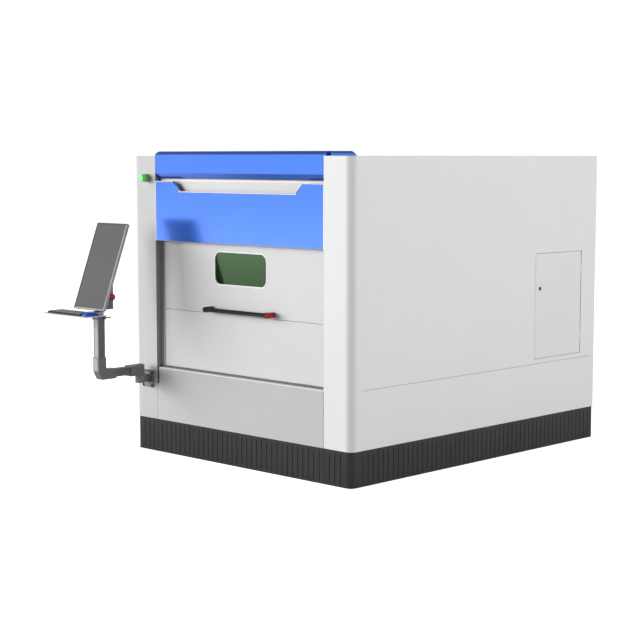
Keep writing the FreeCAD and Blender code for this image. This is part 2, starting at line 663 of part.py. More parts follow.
# Side shells: one folded sheet each, from the doorway return over the pillar and the rounded corner
# to the rear flange, with a narrow fold at foot and top and a pressed line along the side.
# The right one has the service opening.
def side_shells():
    fold = "(plinth_inset + plinth_sheet)"
    for side, node in ((1, "side_shell_right"), (-1, "side_shell_left")):
        skins = [wrap(node + "_skin", side, "0", "sheet", ("plinth_height", "casing_height")),
                 wrap(node + "_foot", side, "0", fold, ("plinth_height", "plinth_height + sheet")),
                 wrap(node + "_top", side, "0", fold, ("casing_height - 2 * sheet", "casing_height - sheet")),
                 block(node + "_return", span(side, DOORWAY, DOORWAY + " + sheet"),
                       (FRONT, FACE + " - sheet"), ("plinth_height", "casing_height"))]
        tools = [block(node + "_line", span(side, HALF_WIDTH + " - seam_depth", HALF_WIDTH + " + 1"),
                       (FRONT + " + seam_end", HALF_DEPTH + " - seam_tail"),
                       ("seam_height - seam_width / 2", "seam_height + seam_width / 2"))]
        if side > 0:
            tools.append(block("service_opening", (HALF_WIDTH + " - rear_return", HALF_WIDTH + " + 1"),
                               ("service_front", "service_rear"), ("service_foot", "service_top")))
        keep(node, cut(node + "_cut", fuse(node + "_folded", skins), tools))


# Roof: flat sheet on the frame's top ring, cut out at the front for the header and the door slot.
def roof_panel():
    plate = bent_block("roof_plate", "(sheet + 0.5)", ("casing_height - sheet", "casing_height"))
    slot = block("roof_slot", both(DOORWAY + " + sheet"), (FRONT, FRONT + " + lip_thickness + hood_slot"),
                 ("casing_height - 2 * sheet", "casing_height + sheet"))
    keep("roof_panel", cut("roof", plate, slot))


# Rear panel: one sheet between the side shells' rear flanges, with two fields of air slots.
def rear_panel():
    rear = (HALF_DEPTH + " - sheet", HALF_DEPTH)
    plate = block("rear_plate", both(HALF_WIDTH + " - rear_return"), rear,
                  ("plinth_height", "casing_height - sheet"))
    tools = []
    for side in (1, -1):
        for number in range(8):
            low = "0.75 * casing_height + %d * air_pitch" % number
            across = span(side, HALF_WIDTH + " - air_inset - air_length", HALF_WIDTH + " - air_inset")
            tools.append(block("air_slot", across, rear, (low, low + " + air_slot")))
    keep("rear_panel", cut("rear_slotted", plate, tools))


# Header: the blue profile above the doorway, folded to a tray, open to the rear, with chamfered edges.
def header():
    body = doc.addObject("PartDesign::Body", "header_body")
    top = "casing_height + hood_rise"
    back = FRONT + " + lip_thickness"
    side_view = outline(body, "YZ_Plane", "header_side", [
        (back, "header_foot"),
        (FRONT, "header_foot + header_chamfer"),
        (FRONT, top + " - lip_chamfer"),
        (FRONT + " + lip_chamfer", top),
        (back, top),
    ], minus(DOORWAY))
    pad(body, side_view, "2 * (%s)" % DOORWAY)
    hollow = outline(body, "XZ_Plane", "header_hollow", [
        (minus(DOORWAY) + " + 2 * sheet", "header_foot + header_chamfer + sheet"),
        (DOORWAY + " - 2 * sheet", "header_foot + header_chamfer + sheet"),
        (DOORWAY + " - 2 * sheet", top + " - lip_chamfer - sheet"),
        (minus(DOORWAY) + " + 2 * sheet", top + " - lip_chamfer - sheet"),
    ], minus(FRONT) + " - lip_thickness")
    pocket(body, hollow, "lip_thickness - sheet", True)
    end_chamfers(body, top, FRONT, "lip_thickness")
    keep("header", body)


def end_chamfers(body, top, front, depth):
    """Bevel the two upper ends of a bar across the doorway."""
    for side in (1, -1):
        end = "%d * (%s)" % (side, DOORWAY)
        start = "%d * (%s - end_chamfer)" % (side, DOORWAY)
        corner = outline(body, "XZ_Plane", body.Name + "_end_%d" % (side + 1), [
            (end, top + " - end_chamfer"), (end, top + " + 1"), (start, top + " + 1"), (start, top),
        ], minus(front))
        pocket(body, corner, depth)


# Hood: the blue cover behind the door slot, a shallow tray turned upside down on the roof.
def hood_cover():
    body = doc.addObject("PartDesign::Body", "hood_body")
    foot, top = "casing_height", "casing_height + hood_rise"
    front = FRONT + " + lip_thickness + hood_slot"
    side_view = outline(body, "YZ_Plane", "hood_side", [
        (front, foot),
        (front, top),
        (front + " + hood_depth - hood_chamfer", top),
        (front + " + hood_depth", foot),
    ], minus(DOORWAY))
    pad(body, side_view, "2 * (%s)" % DOORWAY)
    inner_half = DOORWAY + " - end_chamfer - sheet"
    hollow = outline(body, "YZ_Plane", "hood_hollow", [
        (front + " + sheet", foot),
        (front + " + sheet", top + " - sheet"),
        (front + " + hood_depth - hood_chamfer - sheet", top + " - sheet"),
        (front + " + hood_depth - 2 * sheet", foot),
    ], minus(inner_half))
    pocket(body, hollow, "2 * (%s)" % inner_half, True)
    end_chamfers(body, top, front, "hood_depth")
    keep("hood_cover", body)


# Fascia: the blue panel in the doorway above the window, a folded tray with a wide notch in its top edge.
def fascia():
    body = doc.addObject("PartDesign::Body", "fascia_body")
    floor = "fascia_top - notch_depth"
    face = outline(body, "XZ_Plane", "fascia_face", [
        (minus(DOORWAY), "fascia_foot"), (DOORWAY, "fascia_foot"), (DOORWAY, "fascia_top"),
        ("notch_half_top", "fascia_top"), ("notch_half_floor", floor),
        ("-notch_half_floor", floor), ("-notch_half_top", "fascia_top"), (minus(DOORWAY), "fascia_top"),
    ], minus(FRONT) + " - fascia_depth")
    plate = pad(body, face, "fascia_depth")
    doc.recompute()
    spots = [(side * size(half), value(z)) for side in (1, -1)
             for half, z in (("notch_half_top", "fascia_top"), ("notch_half_floor", floor))]
    bend = body.newObject("PartDesign::Fillet", "notch_bends")
    bend.Base = (plate, ["Edge%d" % number for number in edges_along(plate.Shape, "y", spots)])
    bind(bend, "Radius", "notch_radius")
    inner = DOORWAY + " - sheet"
    hollow = outline(body, "XZ_Plane", "fascia_hollow", [
        (minus(inner), "fascia_foot + sheet"), (inner, "fascia_foot + sheet"), (inner, "fascia_top - sheet"),
        ("notch_half_top + 0.4 * sheet", "fascia_top - sheet"),
        ("notch_half_floor + 0.4 * sheet", floor + " - sheet"),
        ("-notch_half_floor - 0.4 * sheet", floor + " - sheet"),
        ("-notch_half_top - 0.4 * sheet", "fascia_top - sheet"), (minus(inner), "fascia_top - sheet"),
    ], minus(FRONT) + " - fascia_depth")
    pocket(body, hollow, "fascia_depth - sheet", True)
    keep("fascia", body)


# Lower front panel: folded tray standing on the skirt, with a notch for the control arm's cable
# in its upper left corner; the lower door leaf drops behind it.
def lower_front_panel():
    half = DOORWAY + " - leaf_gap"
    notch = minus(half) + " + notch_width"
    y = (FRONT, FACE + " - sheet")
    inside = (FRONT + " + sheet", FACE + " - sheet")
    whole = block("panel_block", both(half), y, ("plinth_height", "ledge_height"))
    corner = block("panel_notch", (minus(half), notch), y, ("ledge_height - notch_fall", "ledge_height"))
    low = block("panel_low", both(half + " - sheet"), inside,
                ("plinth_height + sheet", "ledge_height - notch_fall - sheet"))
    high = block("panel_high", (notch + " + sheet", half + " - sheet"), inside,
                 ("plinth_height + sheet", "ledge_height - sheet"))
    keep("lower_front_panel", cut("panel", whole, [corner, low, high]))


# Ledge seal: black rubber wiper strip that stands on the ledge in front of the lower door leaf.
def ledge_seal():
    half = DOORWAY + " - leaf_gap"
    keep("ledge_seal",
         block("seal", (minus(half) + " + notch_width", half), (FACE + " - 1 - seal_depth", FACE + " - 1"),
                             ("ledge_height", "ledge_height + seal_height")))


# Door guides: a steel channel bolted to each front post, open towards the doorway, for the leaves' shoes,
# with a lip that covers the edge of the leaf.
def door_guides():
    play = "guide_play"
    front, rear = "%s - %s" % (FACE, play), "%s + %s" % (LEAF_BACK, play)
    z = ("sill_top", "casing_height - 10")
    for side, node in ((1, "door_guide_right"), (-1, "door_guide_left")):
        x = span(side, "guide_post - guide_wall - guide_depth", "guide_post")
        hollow = span(side, "guide_post - guide_wall - guide_depth", "guide_post - guide_wall")
        outer = block(node + "_outer", x, (front + " - guide_wall", rear + " + guide_wall"), z)
        lip = block(node + "_lip", span(side, DOORWAY + " - side_lip", DOORWAY + " + sheet + guide_wall"),
                    (FACE + " - sheet", FACE + " - lip_play"), ("leaf_foot + 2", "casing_height - 10"))
        channel = cut(node + "_channel", outer, block(node + "_hollow", hollow, (front, rear), z))
        keep(node, fuse(node + "_profile", [channel, lip]))


def loop(name, x, inner, outer):
    """A belt round an upper and a lower pulley: the outer racetrack shape less the inner one."""
    solids = []
    for kind, radius in (("outer", outer), ("inner", inner)):
        rods = [rod(name + "_%s_%s" % (kind, z), "x", ("-pulley_y", z), radius, *x) for z in ("pulley_top",
                                                                                              "pulley_foot")]
        web = block(name + "_%s_web" % kind, x, ("-pulley_y - (%s)" % radius, "-pulley_y + (%s)" % radius),
                    ("pulley_foot", "pulley_top"))
        solids.append(fuse(name + "_" + kind, rods + [web]))
    return cut(name, solids[0], solids[1])


# Door belts: two closed loops, one in each pillar, that tie the two door leaves together.
def door_belts():
    half = "belt_width / 2"
    inner = "pulley_radius + belt_play"
    belts = [loop("belt_%d" % (side + 1), span(side, "sill_offset - " + half, "sill_offset + " + half),
                  inner, inner + " + belt_thickness") for side in (1, -1)]
    keep("door_belts", group("belts", belts))


# Belt brackets: bearing plates for the cross shaft at the top, plates with a fixed pin for the idlers below,
# all screwed to the back of the front posts.
def belt_brackets():
    plates = []
    front = minus(FRAME_END) + " + post"
    for side in (1, -1):
        x = span(side, "sill_offset + 22", "guide_post + post")
        for z in ("pulley_top", "pulley_foot"):
            tag = "bracket_%d_%s" % (side + 1, z)
            plate = block(tag + "_plate", x, (front, "-pulley_y + 30"), (z + " - 40", z + " + 40"))
            if z == "pulley_top":
                bore = rod(tag + "_bore", "x", ("-pulley_y", z), "shaft_radius + running_fit", *x)
                plates.append(cut(tag, plate, bore))
            else:
                pin_x = span(side, "sill_offset - 16", "sill_offset + 22")
                plates.append(fuse(tag,
                                   [plate, rod(tag + "_pin", "x", ("-pulley_y", z), "shaft_radius", *pin_x)]))
    keep("belt_brackets", group("brackets", plates))


def pulley(name, side, z):
    """A flanged belt pulley about a sideways axis; its seat is a little wider than the belt."""
    half = "(belt_width / 2 + belt_play)"
    rods = [rod(name + "_seat", "x", ("-pulley_y", z), "pulley_radius",
                *span(side, "sill_offset - %s" % half, "sill_offset + %s" % half))]
    for low, high in (("sill_offset - %s - 2" % half, "sill_offset - %s" % half),
                      ("sill_offset + %s" % half, "sill_offset + %s + 2" % half)):
        rods.append(rod(name + "_flange", "x", ("-pulley_y", z), "flange_radius", *span(side, low, high)))
    return rods


# Cross shaft: one steel shaft from pillar to pillar with a pulley keyed on at each end.
def door_shaft():
    rods = [rod("shaft", "x", ("-pulley_y", "pulley_top"), "shaft_radius", *both("guide_post + post + 8"))]
    for side in (1, -1):
        rods += pulley("shaft_pulley_%d" % (side + 1), side, "pulley_top")
    keep("door_shaft", fuse("shaft_with_pulleys", rods))


# Idlers: loose pulleys on the fixed pins at the foot of the belts.
def idlers():
    for side, node in ((1, "idler_right"), (-1, "idler_left")):
        whole = fuse(node + "_wheel", pulley(node, side, "pulley_foot"))
        bore = rod(node + "_bore", "x", ("-pulley_y", "pulley_foot"), "shaft_radius + running_fit",
                   *span(side, "sill_offset - 20", "sill_offset + 20"))
        keep(node, cut(node + "_bored", whole, bore))


# Slat table: welded frame of flat bar whose side bars are notched for the slats.
def slat_places():
    """Where the slats stand, from front to rear, at an even pitch between the frame's end bars."""
    pitch = size("slat_pitch")
    first, last = size("slat_margin") - size("table_front"), size("table_rear") - size("slat_margin")
    count = int((last - first) // pitch) + 1
    start = (first + last - (count - 1) * pitch) / 2
    return [start + index * pitch for index in range(count)]


def table_frame():
    z = ("table_foot", "table_foot + table_bar")
    ends = [block("end_bar", both("table_half_width"), (low, low + " + table_side"), z)
            for low in ("-table_front", "table_rear - table_side")]
    sides = [block("side_bar", span(side, "table_half_width - table_side", "table_half_width"),
                   ("-table_front", "table_rear"), z) for side in (1, -1)]
    wide, gap = size("table_half_width"), size("slat_thickness") + size("slat_fit")
    foot, top = size("slat_foot"), size("table_foot") + size("table_bar")
    notches = [Part.makeBox(2 * wide + 2, gap, top - foot + 1, FreeCAD.Vector(-wide - 1, y - gap / 2, foot))
               for y in slat_places()]
    keep("table_frame",
         cut("table", fuse("table_bars", ends + sides), feature("slat_notches", Part.makeCompound(notches))))


# Slats: equal steel strips on edge, toothed along the top so that the sheet metal rests on points only.
def table_slats():
    half = size("table_half_width") - 4
    thickness = size("slat_thickness")
    foot, tip, root = size("slat_foot"), size("slat_top"), size("slat_top") - size("tooth_depth")
    count = int(2 * half // size("tooth_pitch"))
    pitch = 2 * half / count
    slats = []
    for y in slat_places():
        points = [(-half, foot), (half, foot)]
        for index in range(count):
            right = half - index * pitch
            points += [(right, root), (right - pitch / 2, tip)]
        points.append((-half, root))
        wire = Part.makePolygon([FreeCAD.Vector(x, y - thickness / 2, z) for x, z in points + points[:1]])
        slats.append(Part.Face(wire).extrude(FreeCAD.Vector(0, thickness, 0)))
    keep("table_slats", feature("slats", Part.makeCompound(slats)))


# Scrap tray: open steel trough on the bed ties under the table.
def scrap_tray():
    half = "table_half_width - tray_inset"
    y = ("-table_front + 5", "table_rear - 5")
    outer = block("tray_outer", both(half), y, ("sill_top", "table_foot - tray_room"))
    inner = block("tray_inner", both(half + " - tray_wall"), (y[0] + " + tray_wall", y[1] + " - tray_wall"),
                  ("sill_top + tray_wall", "table_foot - tray_room"))
    keep("scrap_tray", cut("tray", outer, inner))


# Y rails: two ground linear rails along the bed beams.
def y_rails():
    rails = [block("rail_%d" % (side + 1),
                   span(side, "sill_offset - rail_width / 2", "sill_offset + rail_width / 2"),
                   ("-bed_front + 5", "bed_rear"), ("beam_top", "beam_top + rail_height")) for side in (1,
                                                                                                        -1)]
    keep("y_rails", group("bed_rails", rails))


# Partition: sheet wall between the cutting chamber and the rear cabinet, on the middle posts.
def partition():
    keep("partition", block("wall", both(FRAME_SIDE), ("mid_post - sheet", "mid_post"),
                            ("sill_top", "casing_height - sheet - post")))


# Servo drives: equal drive units screwed to the partition inside the rear cabinet.
def servo_drives():
    drives = []
    for number in range(3):
        left = "drive_first + %d * drive_pitch" % number
        foot = "service_foot + drive_rise"
        drives.append(rounded_block("drive_%d" % number, (left, left + " + drive_width"),
                                    ("mid_post", "mid_post + drive_depth"), (foot,
                                                                             foot + " + drive_height"), "z",
                                    "cap_width"))
    keep("servo_drives", group("drives", drives))


# Laser source: the fibre laser's closed cabinet, standing on the bed ties in the rear compartment.
def laser_source():
    x = ("-sill_offset", "-sill_offset + source_width")
    y = ("mid_post + source_gap", "mid_post + source_gap + source_depth")
    z = ("sill_top", "sill_top + source_height")
    inside = block("source_inside",
                   *[(low + " + leaf_skin", high + " - leaf_skin") for low, high in (x, y, z)])
    keep("laser_source", cut("source", rounded_block("source_case", x, y, z, "z", "cap_width"), inside))


def circles_at(shape, axis, level):
    """Numbers of the full circles that lie at one level of an axis."""
    index = "xyz".index(axis)
    return [number for number, edge in enumerate(shape.Edges, start=1)
            if len(edge.Vertexes) == 1 and abs(edge.Vertexes[0].Point[index] - level) < 0.01]


def round_end(name, base, axis, level, radius):
    """Round the circular edge of a turned piece at one level of its axis."""
    doc.recompute()
    item = doc.addObject("Part::Fillet", name)
    item.Base = base
    item.Edges = [(number, value(radius), value(radius)) for number in circles_at(base.Shape, axis,
                                                                                  value(level))]
    return item


# Signal lamp: a green barrel with a slightly smaller domed lens, screwed to the left pillar.
def signal_lamp():
    at = ("-lamp_x", "lamp_height")
    barrel = rod("lamp_barrel", "y", at, "lamp_radius", FRONT + " - 0.55 * lamp_length", FRONT)
    lens = rod("lamp_lens", "y", at, "0.9 * lamp_radius", FRONT + " - lamp_length",
               FRONT + " - 0.55 * lamp_length")
    whole = fuse("lamp", [barrel, lens])
    keep("signal_lamp", round_end("lamp_round", whole, "y", FRONT + " - lamp_length", "0.25 * lamp_radius"))


# Arm bracket: wall plate, web and round hub with the upright pin that the control arm swings on.
SWIVEL = "(-casing_depth / 2 - swivel_reach)"
KNUCKLE_FOOT = "(arm_height - 35)"


def grooves_round(name, at, radius, low, high, first, count):
    """Upright grooves cut into a round casting, one every 18 degrees from a first angle on."""
    width, centre = value("rib_groove"), FreeCAD.Vector(value(at[0]), value(at[1]), 0)
    foot, top = value(low), value(high)
    tools = []
    for number in range(count):
        tool = Part.makeBox(width, width, top - foot,
                            FreeCAD.Vector(value(radius) - width / 2, -width / 2, foot))
        tool.translate(centre)
        tool.rotate(centre, FreeCAD.Vector(0, 0, 1), first + 18 * number)
        tools.append(tool)
    return feature(name, Part.makeCompound(tools))


def arm_bracket():
    plate = rounded_block("wall_plate", ("-arm_x - 54", "-arm_x + 54"), (FRONT + " - 8", FRONT),
                          ("swivel_foot - 36", "swivel_foot + 78"), "y", "plate_corner")
    web = block("web", ("-arm_x - 12", "-arm_x + 12"), (SWIVEL, FRONT + " - 8"),
                ("swivel_foot", KNUCKLE_FOOT + " - 1"))
    lip = block("wall_lip", ("-arm_x - 48", "-arm_x + 48"), (FRONT + " - lip_reach", FRONT + " - 8"),
                ("swivel_foot + 72", "swivel_foot + 78"))
    hub = rod("hub", "z", ("-arm_x", SWIVEL), "swivel_radius", "swivel_foot", KNUCKLE_FOOT + " - 1")
    washer = rod("hub_washer", "z", ("-arm_x", SWIVEL), "shaft_radius + 6", KNUCKLE_FOOT + " - 1",
                 KNUCKLE_FOOT)
    pin = rod("hub_pin", "z", ("-arm_x", SWIVEL), "shaft_radius", KNUCKLE_FOOT, "arm_height + 22")
    ribs = grooves_round("hub_grooves", ("-arm_x", SWIVEL), "swivel_radius", "swivel_foot",
                         "swivel_foot + 40", 117, 18)
    keep("arm_bracket", cut("bracket", fuse("bracket_casting", [plate, web, lip, hub, washer, pin]), ribs))


# Arm knuckle: cast joint piece that turns on the bracket's pin and takes the arm tube, with a round cap.
def arm_knuckle():
    half = "knuckle_width / 2"
    top = "arm_height + 32"
    round_part = rod("knuckle_round", "z", ("-arm_x", SWIVEL), half, KNUCKLE_FOOT, top)
    cheek = block("knuckle_cheek", ("-arm_x - " + half, "-arm_x + " + half),
                  (SWIVEL + " - knuckle_reach", SWIVEL),
                  (KNUCKLE_FOOT, top))
    cap = rod("knuckle_cap", "z", ("-arm_x", SWIVEL), "0.7 * knuckle_width / 2", top, top + " + 3")
    bore = rod("knuckle_bore", "z", ("-arm_x", SWIVEL), "shaft_radius + running_fit", KNUCKLE_FOOT,
               "arm_height + 22.5")
    ribs = grooves_round("knuckle_grooves", ("-arm_x", SWIVEL), half, KNUCKLE_FOOT + " + 4", top + " - 4",
                         9, 10)
    keep("arm_knuckle", cut("knuckle", fuse("knuckle_casting", [round_part, cheek, cap]), [bore, ribs]))


def square_tube(name, x, y, z, along):
    """A length of square tube, hollow along one axis."""
    inner = [(low + " + arm_wall", high + " - arm_wall") for low, high in (x, y, z)]
    inner["xyz".index(along)] = (x, y, z)["xyz".index(along)]
    return cut(name, block(name + "_outer", x, y, z), block(name + "_inner", *inner))


# Arm tube: square steel tube from the knuckle to the elbow.
def arm_tube():
    half = "arm_tube / 2"
    keep("arm_tube", square_tube("beam_tube", ("-arm_x - " + half, "-arm_x + " + half),
                                 (SWIVEL + " - elbow_reach", SWIVEL + " - knuckle_reach"),
                                 ("arm_height - " + half, "arm_height + " + half), "y"))


# Arm elbow: cast corner piece that turns the arm upwards, bevelled at its lower front.
POST = "(-casing_depth / 2 - swivel_reach - post_reach)"


def arm_elbow():
    body = doc.addObject("PartDesign::Body", "elbow_body")
    half = "elbow_width / 2"
    side_view = outline(body, "YZ_Plane", "elbow_side", [
        (SWIVEL + " - elbow_reach", "arm_height - 34"),
        (SWIVEL + " - elbow_reach", "arm_height + 29"),
        (POST + " + " + half, "arm_height + 29"),
        (POST + " + " + half, "elbow_top"),
        (POST + " - " + half, "elbow_top"),
        (POST + " - " + half, "arm_height + 16"),
        (POST + " - 2", "arm_height - 34"),
    ], "-arm_x - " + half)
    pad(body, side_view, "elbow_width")
    cover = block("elbow_cover", ("-arm_x - strip_width / 2", "-arm_x + strip_width / 2"),
                  (POST + " - %s - strip_rise" % half, POST + " - " + half), ("arm_height + 22",
                                                                              "elbow_top - 4"))
    keep("arm_elbow", fuse("elbow", [body, cover]))


# Arm post: square tube on the elbow, closed by a collar with the pin that the control head turns on.
def arm_post():
    half = "arm_tube / 2"
    tube = square_tube("post_tube", ("-arm_x - " + half, "-arm_x + " + half),
                       (POST + " - " + half, POST + " + " + half),
                       ("elbow_top", "post_top"), "z")
    edge = "(strip_width / 2 - strip_rise)"
    lines = []
    for side in (1, -1):
        low, high = span(side, edge, "strip_width / 2")
        lines.append(block("front_line", ("-arm_x + " + low, "-arm_x + " + high),
                           (POST + " - %s - 1" % half, POST + " - %s + strip_rise" % half), ("elbow_top",
                                                                                             "post_top")))
        lines.append(block("side_line", ("-arm_x + %s - strip_rise" % half, "-arm_x + %s + 1" % half),
                           (POST + " + " + low, POST + " + " + high), ("elbow_top", "post_top")))
    wide = "collar_width / 2"
    collar = rounded_block("collar", ("-arm_x - " + wide, "-arm_x + " + wide),
                           (POST + " - " + wide, POST + " + " + wide),
                           ("post_top", "collar_top"), "z", "cap_width")
    pin = rod("post_pin", "z", ("-arm_x", POST), "shaft_radius", "collar_top", "wedge_foot - 10")
    bore = rod("lever_bore", "x", (POST + " + 12", "collar_top - 12"), "lever_stud + running_fit",
               "-arm_x + 16", "-arm_x + " + wide)
    keep("arm_post", cut("post", fuse("post_parts", [cut("lined_tube", tube, lines), collar, pin]), bore))


# Clamp lever: small hand lever whose threaded stud locks the head's pin in the collar.
def clamp_lever():
    face = "-arm_x + collar_width / 2"
    at = (POST + " + 12", "collar_top - 12")
    stud = rod("lever_stud_rod", "x", at, "lever_stud", "-arm_x + 18", face)
    hub = rod("lever_hub", "x", at, "2 * lever_stud", face + " + 0.5", face + " + 14")
    neck = rod("lever_neck", "x", at, "lever_stud", face, face + " + 0.5")
    arm = rod("lever_arm", "y", ("%s + 9" % face, "collar_top - 12"), "lever_stud", POST + " + 14",
              POST + " + 58")
    keep("clamp_lever", fuse("lever", [stud, neck, hub, arm]))


# Screen bracket: turned neck on the post's pin and, welded on it, the wedge-shaped sheet box behind
# the screen.
SCREEN_Y = "(-casing_depth / 2 - swivel_reach - post_reach - screen_reach)"
SCREEN_BACK = "(%s + screen_thickness / cos(screen_tilt))" % SCREEN_Y


def screen_bracket():
    body = doc.addObject("PartDesign::Body", "wedge_body")
    back = POST + " + wedge_back"
    foot_y = SCREEN_BACK + " + (wedge_foot - screen_foot) * tan(screen_tilt)"
    top_z = "screen_foot + (%s - %s) / tan(screen_tilt)" % (back, SCREEN_BACK)
    side_view = outline(body, "YZ_Plane", "wedge_side",
                        [(foot_y, "wedge_foot"), (back, "wedge_foot"), (back, top_z)],
                        "-arm_x - wedge_width / 2")
    pad(body, side_view, "wedge_width")
    inner = outline(body, "YZ_Plane", "wedge_inside", [
        (foot_y + " + 3 * sheet", "wedge_foot + sheet"), (back + " - sheet", "wedge_foot + sheet"),
        (back + " - sheet", top_z + " - 4 * sheet")], "-arm_x - wedge_width / 2 + sheet")
    pocket(body, inner, "wedge_width - 2 * sheet", True)
    neck = rod("neck", "z", ("-arm_x", POST), "neck_radius", "collar_top + 0.5", "wedge_foot")
    washer = rod("neck_washer", "z", ("-arm_x", POST), "shaft_radius + 6", "collar_top", "collar_top + 0.5")
    bore = rod("neck_bore", "z", ("-arm_x", POST), "shaft_radius + running_fit", "collar_top",
               "wedge_foot - 9.5")
    button_bore = rod("button_hole", "x", (POST + " + estop_back", "estop_height"), "stem_radius + 0.5",
                      "-arm_x + wedge_width / 2 - 2 * sheet", "-arm_x + wedge_width / 2")
    keep("screen_bracket", cut("wedge", fuse("wedge_parts", [body, neck, washer]), [bore, button_bore]))


# Screen: the flat housing of the control screen, leaning back against the bracket.
def screen_housing():
    body = doc.addObject("PartDesign::Body", "screen_body")
    half = "screen_width / 2"
    face = outline(body, "XZ_Plane", "screen_face", [
        (minus(half), "0"), (half, "0"), (half, "screen_height"), (minus(half), "screen_height")], "0")
    plate = pad(body, face, "screen_thickness", True)
    doc.recompute()
    spots = [(side * size("screen_width") / 2, z) for side in (1, -1) for z in (0, size("screen_height"))]
    bend = body.newObject("PartDesign::Fillet", "screen_corners")
    bend.Base = (plate, ["Edge%d" % number for number in edges_along(plate.Shape, "y", spots)])
    bind(bend, "Radius", "cap_width")
    rim = half + " - bezel"
    glass = outline(body, "XZ_Plane", "screen_glass", [
        (minus(rim), "bezel"), (rim, "bezel"), (rim, "screen_height - bezel"), (minus(rim),
                                                                                "screen_height - bezel")])
    pocket(body, glass, "glass_sink")
    body.Placement.Rotation = FreeCAD.Rotation(FreeCAD.Vector(-1, 0, 0), size("screen_tilt"))
    place(body, "-arm_x", SCREEN_Y, "screen_foot")
    keep("screen_housing", body)


# Emergency stop: a yellow base screwed into the bracket's side, and the red mushroom head pressed into it.
def emergency_stop():
    at = (POST + " + estop_back", "estop_height")
    face = "-arm_x + wedge_width / 2"
    base = rod("estop_ring", "x", at, "estop_radius + 3.5", face, face + " + 8")
    hole = rod("estop_hole", "x", at, "stem_radius + running_fit", face, face + " + 8")
    keep("estop_base", cut("estop_bored", base, hole))
    head = rod("estop_head", "x", at, "estop_radius", face + " + 16", face + " + 31")
    doc.recompute()
    dome = round_end("estop_dome", head, "x", face + " + 31", "0.3 * estop_radius")
    stem = rod("estop_stem", "x", at, "stem_radius", face + " - 4", face + " + 17")
    keep("estop_button", fuse("estop_pressed", [dome, stem]))


# Keyboard tray: flat sheet shelf under the screen, with a tongue that saddles the turning neck.
def keyboard_tray():
    z = ("tray_top - tray_thickness", "tray_top")
    shelf = rounded_block("shelf", ("-arm_x - tray_width / 2", "-arm_x + tray_width / 2"),
                          (POST + " - tray_front", POST + " - tray_rear"), z, "z", "cap_width")
    tongue = block("tongue", ("-arm_x - 60", "-arm_x + 60"), (POST + " - tray_rear - 10", POST), z)
    saddle = rod("saddle", "z", ("-arm_x", POST), "neck_radius", *z)
    keep("keyboard_tray", cut("shelf_with_tongue", fuse("shelf_parts", [shelf, tongue]), saddle))


# Keyboard and mouse: plain desk pieces that lie on the tray.
def keyboard_and_mouse():
    left = "-arm_x - tray_width / 2 + 13"
    front = POST + " - tray_front + 30"
    top = "tray_top + keyboard_thickness"
    case = rounded_block("keys_case", (left, left + " + keyboard_width"),
                         (front, front + " + keyboard_depth"),
                         ("tray_top", top + " - key_rise"), "z", "cap_width")
    pitch = "(keyboard_depth - 2 * key_margin) / 6"
    rows = [block("key_row", (left + " + key_margin", left + " + keyboard_width - key_margin"),
                  (front + " + key_margin + %d * %s + key_gap / 2" % (number, pitch),
                   front + " + key_margin + %d * %s - key_gap / 2" % (number + 1, pitch)),
                  (top + " - key_rise", top)) for number in range(6)]
    keep("keyboard", fuse("keys", [case] + rows))
    right = "-arm_x + tray_width / 2 - 9"
    base = rounded_block("mouse_case", (right + " - 58", right), (front, front + " + 100"),
                         ("tray_top", "tray_top + mouse_height"), "z", "mouse_radius")
    doc.recompute()
    top = doc.addObject("Part::Fillet", "mouse_top")
    top.Base = base
    level, crown = value("tray_top + mouse_height"), 0.4 * size("mouse_radius")
    top.Edges = [(number, crown, crown) for number, edge in enumerate(base.Shape.Edges, start=1)
                 if all(abs(vertex.Z - level) < 0.01 for vertex in edge.Vertexes)]
    keep("mouse", top)


# Door leaves: folded sheet, the upper one with the window opening, each with two guide shoes a side.
UPPER_CLAMP = ("window_centre + clamp_rise", "window_centre + clamp_rise + clamp_height")
LOWER_CLAMP = ("leaf_seam - clamp_drop", "leaf_seam - clamp_drop + clamp_height")


def leaf(node, z, pockets, openings, shoes, pad_z):
    """A door leaf: sheet with folded edges, ribs, openings, guide shoes and pads for the clamps."""
    half = DOORWAY + " - leaf_gap"
    slab = block(node + "_slab", both(half), (FACE, LEAF_BACK), z)
    tools = [block(node + "_hollow", x, (FACE + " + leaf_skin", LEAF_BACK), height) for x, height in pockets]
    parts = [cut(node + "_folded", slab, tools + openings)]
    for side in (1, -1):
        parts.append(block(node + "_pad",
                           span(side, "guide_post - clamp_inset - clamp_arm - 3", half + " - leaf_edge / 2"),
                           (FACE + " + leaf_skin / 2", LEAF_BACK), pad_z))
        for low in shoes:
            parts.append(block(node + "_shoe", span(side, half, "guide_post - guide_wall - 3"),
                               (FACE, LEAF_BACK),
                               (low, low + " + shoe_length")))
    keep(node, fuse(node + "_leaf", parts))


def window_block(name, grow, y):
    """A round-cornered block of the window's outline, grown on all sides."""
    half_x, half_z = "window_width / 2 + " + grow, "window_height / 2 + " + grow
    base = block(name + "_block", both(half_x), y,
                 ("window_centre - (%s)" % half_z, "window_centre + " + half_z))
    doc.recompute()
    box = base.Shape.BoundBox
    item = doc.addObject("Part::Fillet", name)
    item.Base = base
    radius = value("window_radius + " + grow)
    spots = [(x, z) for x in (box.XMin, box.XMax) for z in (box.ZMin, box.ZMax)]
    item.Edges = [(number, radius, radius) for number in edges_along(base.Shape, "y", spots)]
    return item


